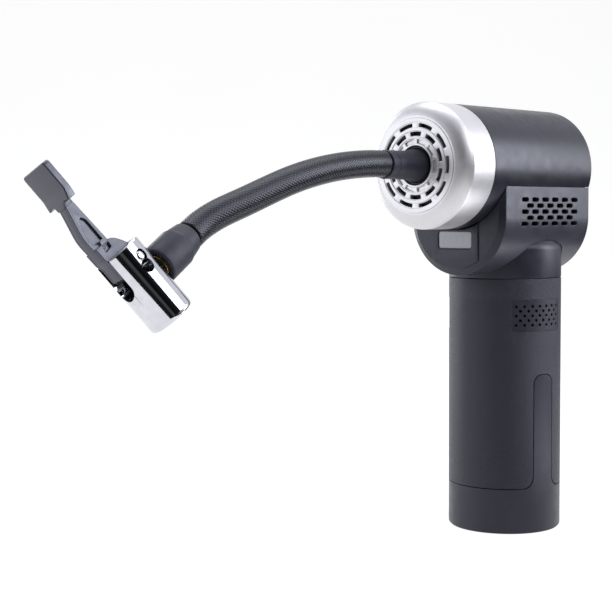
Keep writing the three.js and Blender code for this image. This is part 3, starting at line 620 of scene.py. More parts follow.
# ---- the hose
def centripetal(points, samples):
    """Points along a centripetal Catmull-Rom curve, the curve that the CAD tube follows."""
    p = [Vector(q) for q in points]
    p = [p[0] * 2 - p[1]] + p + [p[-1] * 2 - p[-2]]
    out = []
    spans = len(points) - 1
    for k in range(samples + 1):
        t = min(k / samples * spans, spans - 1e-9)
        i = int(t)
        u = t - i
        a, b, c, d = p[i : i + 4]
        knot = [0.0]
        for m, n in ((a, b), (b, c), (c, d)):
            knot.append(knot[-1] + max((n - m).length, 1e-9) ** 0.5)
        s = knot[1] + u * (knot[2] - knot[1])

        def blend(m, n, t0, t1):
            return m * ((t1 - s) / (t1 - t0)) + n * ((s - t0) / (t1 - t0))

        ab = blend(a, b, knot[0], knot[1])
        bc = blend(b, c, knot[1], knot[2])
        cd = blend(c, d, knot[2], knot[3])
        abc = blend(ab, bc, knot[0], knot[2])
        bcd = blend(bc, cd, knot[1], knot[3])
        out.append(blend(abc, bcd, knot[1], knot[2]))
    return out


def even(points, count):
    """The same line, as count + 1 points an equal length apart."""
    lengths = [0.0]
    for a, b in zip(points, points[1:]):
        lengths.append(lengths[-1] + (b - a).length)
    out = []
    for k in range(count + 1):
        want = lengths[-1] * k / count
        i = int(np.searchsorted(lengths, want, side="right")) - 1
        i = min(max(i, 0), len(points) - 2)
        share = (want - lengths[i]) / (lengths[i + 1] - lengths[i])
        out.append(points[i].lerp(points[i + 1], share))
    return out, lengths[-1]


def hose():
    """The braided hose: a tube whose skin rises and falls with the braid's crossing strands."""
    line, length = even(centripetal(HOSE_ROUTE, 400), 480)
    around = 120
    relief = 0.07
    taper = 0.8
    skin_r = HOSE_R - 0.1
    bm = bmesh.new()
    uv_layer = bm.loops.layers.uv.new("braid")
    side = Vector((1, 0, 0))
    rings = []
    for k, point in enumerate(line):
        ahead = line[min(k + 1, len(line) - 1)] - line[max(k - 1, 0)]
        ahead.normalize()
        side = (side - ahead * side.dot(ahead)).normalized()
        top = ahead.cross(side)
        along = length * k / (len(line) - 1)
        ends = min(1.0, along / taper, (length - along) / taper)
        twist = 2 * math.pi * along / BRAID_PITCH
        ring = []
        for j in range(around):
            t = 2 * math.pi * j / around
            a = abs(math.sin(0.5 * (BRAID_STRANDS * t + twist)))
            b = abs(math.sin(0.5 * (BRAID_STRANDS * t - twist)))
            r = skin_r + relief * (a * b - 0.4) - 0.25 * (1 - ends) ** 2
            ring.append(bm.verts.new(point + (side * math.cos(t) + top * math.sin(t)) * r))
        rings.append(ring)
    for k, (low, high) in enumerate(zip(rings, rings[1:])):
        for j in range(around):
            n = (j + 1) % around
            face = bm.faces.new((low[j], low[n], high[n], high[j]))
            v0, v1 = (length * i / (len(line) - 1) / BRAID_PITCH for i in (k, k + 1))
            corners = ((j, v0), (j + 1, v0), (j + 1, v1), (j, v1))
            for loop, (u, v) in zip(face.loops, corners):
                loop[uv_layer].uv = (u / around, v)
    bm.faces.new(rings[0][::-1])
    bm.faces.new(rings[-1])
    obj = piece("hose_braid", bm, "hose", "hose_braid", "hose_tube", angle=60)
    path, _ = even([Vector(p) for p in line], 36)
    return obj, [tuple(p * MM) for p in path]


HEAD_AXIS = (0, 0, HEAD_Z)
hose_obj, hose_path = hose()

ferrule_profile = [(3, -90.9), (6.1, -90.9), (6.4, -90.5), (6.3, -86.3), (3, -86.3)]
ferrule = lathe(ferrule_profile, [0.1, 0.3, 0.3, 0.06, 0.1], at=HEAD_AXIS)
ferrule_obj = piece("hose_ring", ferrule, "sleeve", "dark_plastic", "hose_ferrule")
root_profile = [
    (3, -51.5), (5.2, -51.5), (5.2, -66.4), (7.35, -66.4), (7.55, -67.6), (7.45, -69.0), (7.15, -71.0),
    (6.75, -73.6), (6.45, -77.0), (6.3, -81.0), (6.28, -86.1), (5.6, -86.15), (3, -86.1),
]
root_radii = [0.1, 0.2, 0.2, 0.5, 0.6, 0.9, 1.2, 1.4, 1.8, 1.8, 0.06, 0.1, 0.1]
root = lathe(root_profile, root_radii, at=HEAD_AXIS)
piece("hose_root", root, "sleeve", "dark_plastic", "hose_fitting")

# ---- silver nose
nose_profile = [
    (21.42, -68.62), (22.2, -68.6), (24.5, -67.8), (26.5, -66.4), (27.9, -64.7), (28.5, -63.65),
    (HEAD_R, -63.1), (HEAD_R, BAND_Y), (26.2, BAND_Y), (26.2, BAND_Y + 4), (24.2, BAND_Y + 4),
    (24.2, -61), (19.4, -63.4), (19.4, -65.9), (21.5, -65.9),
]
nose_radii = [0.06, 0.5, 1.1, 1.1, 0.8, 0.18, 0.3, 0.35, 0.1, 0.3, 0.3, 0.5, 0.3, 0.3, 0.3]
nose = lathe(nose_profile, nose_radii, at=HEAD_AXIS, segments=160)
piece("nose_shell", nose, "silver", "silver", "nose_ring")


def arc_slot(r_in, r_out, mid, half, corner=0.45):
    """A slot along an arc about the head's axis, with rounded corners."""
    outer = arc(0, HEAD_Z, r_out, mid - half, mid + half, 10)
    inner = arc(0, HEAD_Z, r_in, mid + half, mid - half, 10)
    outline = outer + inner
    radii = [0] * len(outline)
    for i in (0, len(outer) - 1, len(outer), len(outline) - 1):
        radii[i] = corner
    return rounded(outline, radii, 4)


SLOTS = [arc_slot(17.25, 18.95, 108 + 36 * k, 12) for k in range(10)]
SLOTS += [arc_slot(13.3, 15.2, 90 + 36 * k, 12) for k in range(10)]
POCKETS = [arc_slot(9.95, 11.75, 108 + 36 * k, 13.2, 0.3) for k in range(10)]
SOCKET_R = 8.95
disc_holes = [*SLOTS, *POCKETS, circle(0, HEAD_Z, SOCKET_R, 96)]
disc = plate(circle(0, HEAD_Z, FACE_R, 160), disc_holes, 2.4, 0.16)
piece("grille_disc", facing(disc, FACE_Y), "silver", "silver", "front_grille")
ring_back = FACE_Y + 0.8
for name, r_in, r_out, front in (
    ("grille_rim", SOCKET_R, 9.75, -69.1),
    ("grille_ring_1", 12.2, 12.95, -69.05),
    ("grille_ring_2", 15.6, 16.95, -69.05),
    ("grille_ring_3", 19.35, 21.38, -68.95),
):
    ring_profile = [(r_in, ring_back), (r_in, front), (r_out, front), (r_out, ring_back)]
    piece(name, lathe(ring_profile, 0.22, at=HEAD_AXIS, segments=128), "silver", "silver")
floor_ring = lathe([(9, -67.9), (12.6, -67.9), (12.6, -66.8), (9, -66.8)], 0.1, at=HEAD_AXIS)
piece("pocket_floor", floor_ring, "silver", "silver")
boss_profile = [
    (7.8, -68.2), (8.65, -68.2), (8.65, -58), (7.2, -57), (7.2, -44), (2.6, -44), (2.6, -50), (5.5, -50),
    (5.5, -66.2), (7.8, -66.2),
]
piece("outlet_boss", lathe(boss_profile, 0.25, at=HEAD_AXIS), "dark", "dark_plastic", "outlet_socket")

# ---- barrel
BARREL_FRONT = BAND_Y + GAP
BARREL_FRONT_R = 0.5
BARREL_END = REAR_Y - 0.02
SKIRT_DEG = -18.6  # the barrel's lower edges beside the housing


def rounding(past, r):
    """How far a surface whose edge is rounded by r has dropped at a distance past the rounding's start."""
    return r - math.sqrt(max(0.0, r * r - max(0.0, past) ** 2))


def barrel_shape(a, b, d):
    """Wraps (arc length, y) round the barrel."""
    front = rounding(BARREL_FRONT + BARREL_FRONT_R - b, BARREL_FRONT_R)
    radius = HEAD_R - rounding(b - (REAR_Y - END_R), END_R) - front + d
    t = a / HEAD_R
    return (radius * math.cos(t), b, HEAD_Z + radius * math.sin(t))


low_end, high_end = degrees_to_mm(-90, HEAD_R), degrees_to_mm(270, HEAD_R)
low_skirt, high_skirt = degrees_to_mm(SKIRT_DEG, HEAD_R), degrees_to_mm(180 - SKIRT_DEG, HEAD_R)
barrel_outline = [
    (low_end, BARREL_FRONT), (high_end, BARREL_FRONT), (high_end, LOBE_Y - GAP),
    (high_skirt, LOBE_Y - GAP), (high_skirt, BARREL_END), (low_skirt, BARREL_END),
    (low_skirt, LOBE_Y - GAP), (low_end, LOBE_Y - GAP),
]
front_cuts = [BAND_Y + past for past in (0.45, 0.6, 0.8)]
rear_cuts = [REAR_Y - short for short in (0.7, 0.5, 0.35, 0.2)]
round_cuts = steps_between(low_end, high_end, FACET)
barrel = plate(barrel_outline, (), WALL, 0.12, 1, round_cuts, [*front_cuts, -38, *rear_cuts])
piece("barrel_shell", barrel, "barrel", "body_plastic", "head_barrel", over=barrel_shape)

# ---- lower housing
STRAIGHT = LOBE_TOP - LOBE_Z
QUARTER = LOBE_R * math.pi / 2
FLANK_END = -(STRAIGHT + QUARTER) + 0.15
NECK_SHOULDER_Z = 136


def lobe_shape(sign):
    """Wraps (y, distance down the flank) over the housing's side."""

    def shape(a, b, d):
        s = -b
        out = LOBE_R + d - rounding(LOBE_Y + END_R - a, END_R) - rounding(a - (REAR_Y - END_R), END_R)
        if s <= STRAIGHT:
            return (sign * out, a, LOBE_TOP - s)
        t = (s - STRAIGHT) / LOBE_R
        return (sign * out * math.cos(t), a, LOBE_Z - out * math.sin(t))

    return shape


def neck_cut():
    """Where the neck leaves the housing's flank, as (y, -distance down), and the least distance down."""
    line = []
    top = None
    steps = 60
    for k in range(steps + 1):
        s = STRAIGHT + QUARTER * (1 - k / steps)
        t = (s - STRAIGHT) / LOBE_R
        x = LOBE_R * math.cos(t)
        z = LOBE_Z - LOBE_R * math.sin(t)
        r = GRIP_R + GAP - 2.4 * max(0.0, z - NECK_SHOULDER_Z) / 3.2
        if r <= x:
            break
        line.append((math.sqrt(r * r - x * x), -s))
        top = s
    return line, top


cut_line, cut_top = neck_cut()
front_cut = [(-y, max(s, FLANK_END)) for y, s in cut_line]
rear_cut = [(y, max(s, FLANK_END)) for y, s in reversed(cut_line)]
side_outline = [(LOBE_Y, 0.2), (LOBE_Y, FLANK_END), *front_cut, (0, -cut_top + 0.25), *rear_cut]
side_outline += [(BARREL_END, FLANK_END), (BARREL_END, 0.2)]
VENT_ROWS = (6, 5, 6, 5, 6)
VENT_PITCH = 8.17
VENT_DROP = 2.81
vents = []
for row, count in enumerate(VENT_ROWS):
    z = 158.1 - VENT_DROP * row
    s = LOBE_TOP - z if z >= LOBE_Z else STRAIGHT + LOBE_R * math.asin((LOBE_Z - z) / LOBE_R)
    for i in range(count):
        y = -22.2 + VENT_PITCH * (i + (0.5 if row % 2 else 0))
        vents.append(stadium(y, -s, 2.75, 1.0))
flank_cuts = [-2, -4, -8, -11, *[-STRAIGHT - 0.9 * i for i in range(48)]]
END_CUTS = (0.12, 0.3, 0.5, 0.7)
end_cuts = [LOBE_Y + past for past in END_CUTS] + [REAR_Y - short for short in reversed(END_CUTS)]
LIP_X = 25.2
SCREEN_X = 24.3
BOTH_SIDES = (("left", 1), ("right", -1))
for name, sign in BOTH_SIDES:
    cover = plate(side_outline, vents, WALL, 0.14, 2, end_cuts, flank_cuts)
    node = "side_cover_" + name
    piece("side_shell_" + name, cover, "housing", "housing_plastic", node, over=lobe_shape(sign))
    lip = side_plate(box_outline(-2.6, 163.0, 33.8, 2.0, 0.2), (), LIP_X, 0.6, 0.1, sign, 2)
    piece("side_lip_" + name, lip, "dark", "housing_plastic")
    baffle = side_plate(box_outline(-2.5, 153.2, 28.5, 8.0, 1.0), (), SCREEN_X, 0.6, 0.1, sign, 2)
    piece("side_screen_" + name, baffle, "screen", "housing_plastic")

# Front wall of the housing, behind the display panel.
wall_arc = arc(0, LOBE_Z, 27.1, 0, -180, 48)
barrel_arc = arc(0, HEAD_Z, 29.2, 202, 338, 30)
front_wall = plate([(27.1, 162.4), *wall_arc, (-27.1, 162.4), *barrel_arc], (), 1.6, 0.1)
piece("housing_front", facing(front_wall, LOBE_Y + GAP), "dark", "housing_plastic")

# ---- display
BARREL_CLEAR = 29.1


def panel_loop(inset, y):
    """The panel's outline at one depth: the housing's round below, the barrel's above."""
    r = LOBE_R - 0.2 - inset
    z_end = HEAD_Z - math.sqrt(BARREL_CLEAR**2 - r * r)
    side_points = [(r, z_end + (LOBE_Z - z_end) * k / 6) for k in range(6)]
    sweep = arc(0, LOBE_Z, r, 0, -180, 72)
    back_up = [(-x, z) for x, z in reversed(side_points)]
    half = math.degrees(math.asin(r / BARREL_CLEAR))
    top_arc = arc(0, HEAD_Z, BARREL_CLEAR, 270 - half, 270 + half, 40)[1:-1]
    return [Vector((x, y, z)) for x, z in side_points + sweep + back_up + top_arc]


def loft(loops):
    """Skins a run of closed loops of equal length and fills its two ends."""
    bm = bmesh.new()
    rings = [[bm.verts.new(p) for p in loop] for loop in loops]
    count = len(rings[0])
    for low, high in zip(rings, rings[1:]):
        for k in range(count):
            n = (k + 1) % count
            bm.faces.new((low[k], low[n], high[n], high[k]))
    for ring in (rings[0], rings[-1]):
        edges = [bm.edges.get((ring[k], ring[(k + 1) % count])) for k in range(count)]
        bmesh.ops.triangle_fill(bm, edges=edges, use_beauty=True)
    return bm


panel_steps = [
    (0.5, -36.2), (0, -36.9), (0, -37.15), (0.14, -37.35), (1.5, -38.15), (2.5, -38.75), (2.75, -38.93),
    (3.1, PANEL_Y),
]
panel = loft([panel_loop(inset, y) for inset, y in panel_steps])
piece("display_shell", panel, "panel", "body_plastic", "display_panel", angle=22)


def column_outline(half, bottom_r, top_r):
    """The raised middle of the panel: upright sides between the housing's round and the barrel's."""
    low = math.degrees(math.asin(half / bottom_r))
    high = math.degrees(math.asin(half / top_r))
    bottom = arc(0, LOBE_Z, bottom_r, 270 - low, 270 + low, 24)
    top = arc(0, HEAD_Z, top_r, 270 + high, 270 - high, 24)
    return bottom + top


def window_outline(grow, r):
    """The display's window, widened on every side."""
    return box_outline(0, WINDOW_Z, 9.3 + grow, 3.8 + grow, r)


column = plate(column_outline(13.1, PANEL_R - 0.4, BARREL_CLEAR), [window_outline(0.4, 1.5)], 1.3, 0.45, 4)
piece("display_column", facing(column, PANEL_Y - 0.75), "panel", "body_plastic")
window_frame = plate(window_outline(0.6, 1.6), [window_outline(0, 1.3)], 1.0, 0.1)
piece("window_frame", facing(window_frame, PANEL_Y - 0.5), "dark", "dark_plastic")
glass = plate(window_outline(0.1, 1.4), (), 1.6, 0.2, 3)
piece("display_glass", facing(glass, PANEL_Y - 0.55), "lcd", "lens", "display_lens")

# ---- rear cover, keys, charging inlet
HEAD_REAR_R = 26.3
LOBE_REAR_R = 24.8
rear_outline = [*arc(0, HEAD_Z, HEAD_REAR_R, -19, 199, 72), *arc(0, LOBE_Z, LOBE_REAR_R, 180, 360, 60)]
AIR_SLOTS = [11, 12.1, 12.8, 13, 12.8, 12.1, 11]
AIR_SLOT_PITCH = 3.6
KEY_Z = 155.0
KEY_X = 12.5
KEY_FACE = 32.4
KEYS = (("power_key", 0, 4.6), ("plus_key", KEY_X, 3.4), ("minus_key", -KEY_X, 3.4))
USB_Z = 143.6
SCREWS_AT = ((18.5, 187.5), (-18.5, 187.5), (20.8, 146.0), (-20.8, 146.0))
SCREW_HOLE_R = 3.0
REAR_SCREEN_Y = 28.7
rear_screen = plate(box_outline(0, 179.9, 14.6, 13.0, 1.5), (), 0.6, 0.1)
piece("rear_screen", facing(rear_screen, REAR_SCREEN_Y, True), "screen", "body_plastic")
rear_holes = [stadium(0, 169 + AIR_SLOT_PITCH * i, half, 0.9) for i, half in enumerate(AIR_SLOTS)]
rear_holes += [circle(x, KEY_Z, r + GAP, 40) for _, x, r in KEYS]
rear_holes += [stadium(0, USB_Z, 5.3, 2.3, 10)]
rear_holes += [circle(x, z, SCREW_HOLE_R + 0.1, 28) for x, z in SCREWS_AT]
rear = plate(rear_outline, rear_holes, 2.4, 0.2, 2)
piece("rear_plate", facing(rear, REAR_Y, True), "body", "body_plastic", "rear_cover")
for name, x, r in KEYS:
    flange = [(0, 26.8), (r + 0.9, 26.8), (r + 0.9, 27.8), (r, 27.8)]
    cap_profile = [*flange, (r, KEY_FACE - 0.05), (r - 0.9, KEY_FACE), (0, KEY_FACE - 0.25)]
    cap_radii = [0, 0.2, 0.2, 0.1, 0.5, 1.2, 0]
    cap = lathe(cap_profile, cap_radii, at=(x, 0, KEY_Z), segments=56, closed=False)
    piece(name + "_cap", cap, "key", "dark_plastic", name, body=name)


def mark(name, key, outline):
    """A printed symbol on a key's face."""
    symbol = facing(plate(outline, (), 0.4, 0.08), KEY_FACE + 0.02, True)
    piece(name, symbol, "mark", "dark_plastic", body=key)


def bar(x, z, half_x, half_z):
    return box_outline(x, z, half_x, half_z, 0.18, 3)


def cross(x, z, arm, half=0.3):
    """An upright cross about (x, z)."""
    quarter = [(half, arm), (-half, arm), (-half, half)]
    points = []
    for _ in range(4):
        points += quarter
        quarter = [(-b, a) for a, b in quarter]
    return [(x + a, z + b) for a, b in points]


mark("plus_mark", "plus_key", cross(KEY_X, KEY_Z, 1.5))
mark("minus_mark", "minus_key", bar(-KEY_X, KEY_Z, 1.5, 0.3))
mark("power_mark_bar", "power_key", bar(0, KEY_Z + 1.35, 0.27, 0.9))
ring_out = arc(0, KEY_Z, 2.1, 125, 415, 28)
ring_in = arc(0, KEY_Z, 1.6, 415, 125, 28)
mark("power_mark_ring", "power_key", ring_out + ring_in)

usb = plate(stadium(0, USB_Z, 5, 2, 10), [stadium(0, USB_Z, 4.4, 1.4, 10)], 7.6, 0.15, 2)
piece("usb_shell", facing(usb, REAR_Y - 0.2, True), "steel", "steel", "usb_inlet")
tongue_block = plate(bar(0, USB_Z, 3.1, 0.35), (), 5.6, 0.1)
piece("usb_tongue", facing(tongue_block, REAR_Y - 1.0, True), "chip", "dark_plastic")
usb_back = plate(stadium(0, USB_Z, 4.5, 1.5, 10), (), 0.8, 0.1)
piece("usb_back", facing(usb_back, REAR_Y - 6.6, True), "chip", "dark_plastic")


def screw_head(name, node, place):
    """A pan-head screw with a cross recess, drawn facing +Z at the origin and then placed."""
    bm = plate(circle(0, 0, 2.65, 40), [rounded(cross(0, 0, 1.35), 0.12, 3)], 0.95, 0.3, 3)
    core = plate(circle(0, 0, 1.9, 24), (), 0.6, 0.1)
    core.transform(Matrix.Translation((0, 0, -0.7)))
    shank = lathe([(0, -6.5), (1.3, -6.2), (1.3, -0.9), (0, -0.9)], 0.1, "z", segments=20, closed=False)
    for extra in (core, shank):
        spare = bpy.data.meshes.new("spare")
        extra.to_mesh(spare)
        extra.free()
        bm.from_mesh(spare)
        bpy.data.meshes.remove(spare)
    piece(name, bm, "steel", "steel", node, matrix=place)


def screw_heads(side, places, facing_out, first_turn):
    for i, place in enumerate(places):
        matrix = Matrix.Translation(place) @ facing_out @ Matrix.Rotation(first_turn + i, 4, "Z")
        screw_head("%s_screw_head_%d" % (side, i + 1), "%s_screw_%d" % (side, i + 1), matrix)


BASE_SCREW_R = 18
turns = [math.radians(a) for a in (90, 210, 330)]
base_screws = [(BASE_SCREW_R * math.cos(t), BASE_SCREW_R * math.sin(t)) for t in turns]
rear_places = [(x, REAR_Y - 0.15, z) for x, z in SCREWS_AT]
screw_heads("rear", rear_places, Matrix.Rotation(math.radians(-90), 4, "X"), 0.4)
screw_heads("base", [(x, y, 0.6) for x, y in base_screws], Matrix.Rotation(math.radians(180), 4, "X"), 0.7)

# ---- handle
neck_profile = [
    (22.2, 7), (CORE_R, 7), (CORE_R, SEAM_Z + GAP), (GRIP_R, SEAM_Z + GAP), (GRIP_R, NECK_SHOULDER_Z),
    (24.6, 139.2), (20, 139.2), (20, 136), (22.2, 134),
]
neck_radii = [0.2, 0.2, 0.1, 0.28, 1.6, 0.5, 0.2, 0.2, 0.5]
neck = lathe(neck_profile, neck_radii, "z", segments=160)
piece("neck_collar", neck, "body", "body_plastic", "handle_core")

BACK_DEG = 90.0  # the sleeve and cap close on themselves along this line, away from the nose
TURN_FROM = degrees_to_mm(BACK_DEG - 360, GRIP_R)
TURN_TO = degrees_to_mm(BACK_DEG, GRIP_R)
SIDES_DEG = (180 - TONGUE_DEG - 360, TONGUE_DEG)
PATCH_SIDES = (180 - PATCH_DEG - 360, PATCH_DEG)
PATCH_MID_Z = sum(PATCH_Z) / 2
PATCH_HALF_Z = (PATCH_Z[1] - PATCH_Z[0]) / 2
TONGUE_R = 4.6
FOOT_R = 5.5


def foot_line(grow):
    """The line between cap and grip right round the unrolled handle, with its two tongues."""
    base = SPLIT_Z + grow
    top = TONGUE_TOP_Z + grow - TONGUE_R
    half = TONGUE_HALF + grow
    points = [(TURN_FROM, base)]
    for deg in SIDES_DEG:
        mid = degrees_to_mm(deg, GRIP_R)
        points += arc(mid - half - FOOT_R, base + FOOT_R, FOOT_R, 270, 360, 8)
        points += arc(mid - half + TONGUE_R, top, TONGUE_R, 180, 90, 10)
        points += arc(mid + half - TONGUE_R, top, TONGUE_R, 90, 0, 10)
        points += arc(mid + half + FOOT_R, base + FOOT_R, FOOT_R, 180, 270, 8)
    points.append((TURN_TO, base))
    return points


def patch_outline(deg, radius, grow, corner):
    """The outline of a perforated insert, unrolled from a cylinder of the given radius."""
    half = degrees_to_mm(PATCH_HALF_DEG, radius) + grow
    return box_outline(degrees_to_mm(deg, radius), PATCH_MID_Z, half, PATCH_HALF_Z + grow, corner, 4)


turn_cuts = steps_between(TURN_FROM, TURN_TO, FACET)
grip_outline = foot_line(GAP) + [(TURN_TO, SEAM_Z), (TURN_FROM, SEAM_Z)]
patch_holes = [patch_outline(deg, GRIP_R, 0.02, 1.2) for deg in PATCH_SIDES]
grip = plate(grip_outline, patch_holes, WALL, 0.22, 2, turn_cuts)
piece("grip_skin", grip, "grip", "grip_rubber", "grip_sleeve", over=cylinder_z(GRIP_R))


def cap_shape(a, b, d):
    """Wraps (arc length, z) round the base cap, drawn in towards its foot."""
    foot = 1.5
    rise = max(0.0, foot - b)
    r = GRIP_R + d - 1.2 * (rise / foot) ** 1.6
    return (r * math.cos(a / GRIP_R), r * math.sin(a / GRIP_R), b)


cap_outline = [(TURN_FROM, 0.02), *foot_line(0), (TURN_TO, 0.02)]
cap = plate(cap_outline, (), WALL, 0.14, 2, turn_cuts, [0.2, 0.4, 0.7, 1.0, 1.3, 1.6])
piece("cap_skin", cap, "body", "body_plastic", "base_cap", over=cap_shape)
under = plate(circle(0, 0, 25.75, 128), [circle(x, -y, SCREW_HOLE_R, 28) for x, y in base_screws], 3.0, 0.2)
under.transform(Matrix.Rotation(math.radians(180), 4, "X"))
piece("base_disc", under, "body", "body_plastic")
well_floor = plate(circle(0, 0, 24.5, 64), (), 0.8, 0.1)
piece("base_floor", well_floor, "body", "body_plastic", matrix=Matrix.Translation((0, 0, 3.8)))

PATCH_R = GRIP_R - 0.18
HOLE_ROWS = (7, 6, 7, 6, 7)
HOLE_PITCH_DEG = 8.8
HOLE_DROP = 2.2
for name, deg in zip(("left", "right"), reversed(PATCH_SIDES)):
    mid = degrees_to_mm(deg, PATCH_R)
    half = degrees_to_mm(PATCH_HALF_DEG, PATCH_R)
    holes = []
    for row, count in enumerate(HOLE_ROWS):
        for i in range(count):
            offset = degrees_to_mm(HOLE_PITCH_DEG * (i - (count - 1) / 2), PATCH_R)
            holes.append(circle(mid + offset, PATCH_MID_Z + HOLE_DROP * (2 - row), 0.72, 20))
    insert_cuts = steps_between(mid - half, mid + half, 1.1)
    insert = plate(patch_outline(deg, PATCH_R, 0, 1.1), holes, 1.6, 0.12, 2, insert_cuts)
    node = "vent_insert_" + name
    piece("vent_patch_" + name, insert, "patch", "housing_plastic", node, over=cylinder_z(PATCH_R))

# ---- chuck and its sleeve
PIN = (0.8, 8.4)


def on_chuck(name, bm, material, slot, *nodes, **more):
    """A piece drawn in the chuck's own frame."""
    return piece(name, bm, material, slot, *nodes, matrix=CHUCK_FRAME, **more)


sleeve_profile = [
    (5.2, 10.15), (7.75, 10.15), (7.75, 23.15), (7.3, 24.35), (6.35, 30.45), (3, 30.45), (3, 16.15),
    (5.2, 16.15),
]
sleeve_radii = [0.5, 0.7, 0.5, 0.6, 0.5, 0.1, 0.2, 0.2]
sleeve = lathe(sleeve_profile, sleeve_radii)
sleeve_obj = on_chuck("hose_end_sleeve", sleeve, "sleeve", "dark_plastic", "chuck_sleeve")
barb_profile = [
    (1.4, 6.8), (3.4, 6.8), (3.4, 9.6), (5.0, 9.75), (5.0, 11.3), (4.4, 11.6), (4.4, 12.6), (4.7, 13),
    (4.4, 15.75), (2.7, 15.75), (2.7, 22.15), (1.4, 22.15),
]
barb_obj = on_chuck("hose_barb", lathe(barb_profile, 0.15, segments=64), "brass", "brass", "chuck_barb")
seal = lathe([(1.3, 6.5), (3.6, 6.5), (3.6, 6.78), (1.3, 6.78)], 0.1, segments=48)
seal_obj = on_chuck("barb_seal", seal, "rubber", "soft_tube")
washer = lathe([(3.45, 9.5), (4.95, 9.5), (4.95, 9.7), (3.45, 9.7)], 0.05, segments=48)
washer_obj = on_chuck("barb_washer", washer, "rubber", "soft_tube")


def cutter(bm, name="tool"):
    """A solid for the boolean cuts."""
    bmesh.ops.recalc_face_normals(bm, faces=bm.faces)
    return add_object(name, bm)


def bore(r, low, high, axis="z", at=(0, 0, 0), segments=64):
    """A round cutter from one station to another along an axis."""
    return lathe([(0, low), (r, low), (r, high), (0, high)], 0, axis, at, segments, False)


def carve(body, tools, bevel):
    """Cuts tools out of a solid, rounds the edges that this leaves, and returns the bmesh."""
    base = cutter(body, "base")
    objects = [cutter(tool) for tool in tools]
    for tool in objects:
        cut = base.modifiers.new("cut", "BOOLEAN")
        cut.operation = "DIFFERENCE"
        cut.solver = "EXACT"
        cut.object = tool
    soften = base.modifiers.new("soften", "BEVEL")
    soften.width = bevel
    soften.segments = 3
    soften.limit_method = "ANGLE"
    soften.angle_limit = math.radians(40)
    ready = bpy.context.evaluated_depsgraph_get()
    mesh = bpy.data.meshes.new_from_object(base.evaluated_get(ready))
    out = bmesh.new()
    out.from_mesh(mesh)
    for obj in [base, *objects]:
        bpy.data.objects.remove(obj)
    return out


chuck_profile = [(0, CHUCK_Z[0]), (CHUCK_R, CHUCK_Z[0]), (CHUCK_R, CHUCK_Z[1]), (0, CHUCK_Z[1])]
chuck_solid = lathe(chuck_profile, [0, 1.9, 0.55, 0], "z", segments=128, closed=False, steps=7)
lever_slot = [*arc(0, 1.6, 4, 180, 360, 20), (4, 17), (-4, 17)]
MOUTH_R = 4.6
chuck_tools = [
    bore(MOUTH_R, -19, -6),
    bore(6, -13.9, -6),
    bore(MOUTH_R, -6.1, 3),
    loft([[Vector((a, y, b)) for a, b in lever_slot] for y in (-12, 6.4)]),
    bore(2.5, -12, 12, "x", (0, *PIN), 40),
    bore(2.75, 2, 12, "x", (0, 0, 4.2), 40),
    bore(3.7, 5, 12, "y", segments=48),
]
chuck_bm = carve(chuck_solid, chuck_tools, 0.28)
chuck_obj = on_chuck("chuck_shell", chuck_bm, "chrome", "plated_alloy", "chuck_body", angle=32)
even_shading = chuck_obj.modifiers.new("even_shading", "WEIGHTED_NORMAL")
even_shading.keep_sharp = True
pin_profile = [(0, -8.9), (1.2, -8.85), (2.15, -8.1), (2.15, 8.1), (1.2, 8.85), (0, 8.9)]
pin = lathe(pin_profile, [0, 0.6, 0.6, 0.6, 0.6, 0], "x", (0, *PIN), 40, False)
pin_obj = on_chuck("chuck_axle", pin, "chrome", "steel", "chuck_pin")


# The lever from the side, as (y, z) in the chuck's frame: its cam, arm, the arm's recess and the cam's notch.
CAM = [
    (-6.4, 4.9), (-3, 4.2), (1.4, 4.0), (4.2, 5.6), (5.4, 8.4), (5.2, 13.4), (4.3, 14.8), (3, 16.9),
    (1.1, 19.2), (-1.1, 20.4), (-9.2, 20.4), (-9.0, 15.0), (-8.1, 12.6), (-8.1, 6.4),
]
CAM_RADII = [0.8, 1, 1, 1.2, 1, 0.6, 0.3, 1, 1, 0.8, 0.3, 0.6, 0.6, 0.6]
ARM = [(-0.9, 19.0), (-1.9, 41.0), (-5.1, 44.0), (-5.9, 39.0), (-9.6, 26.0), (-9.3, 20.5), (-9.2, 19.0)]
ARM_RADII = [0.2, 0.5, 2, 3, 3, 0.3, 0.2]
WEB = [(-2.75, 30.6), (-4.1, 32.6), (-5.6, 31.4), (-8.1, 25.5), (-8.2, 22.2), (-5.0, 20.7), (-2.75, 20.7)]
NOTCH = [(-2.6, 17.6), (-2.4, 19.6), (-3.5, 21.4), (-5.0, 21.2), (-6.3, 17.2)]


def lever_part(name, bm, *nodes, **more):
    on_chuck(name, bm, "lever", "dark_plastic", *nodes, body="lever", **more)


pin_hole = circle(*PIN, 2.2, 32)
cam_outline = rounded(CAM, CAM_RADII, 5)
arm_outline = rounded(ARM, ARM_RADII, 5)
lever_part("lever_cam", side_plate(cam_outline, [pin_hole], 2.3, 4.6, 0.3), "chuck_lever")
for name, sign in BOTH_SIDES:
    cheek_holes = [pin_hole, rounded(NOTCH, 0.5, 4)]
    lever_part("lever_cheek_" + name, side_plate(cam_outline, cheek_holes, 3.4, 1.2, 0.35, sign))
lever_part("lever_arm", side_plate(arm_outline, (), 1.5, 3.0, 0.2))
for name, sign in BOTH_SIDES:
    lever_part("lever_web_" + name, side_plate(arm_outline, [rounded(WEB, 0.7, 4)], 2.4, 1.0, 0.22, sign))

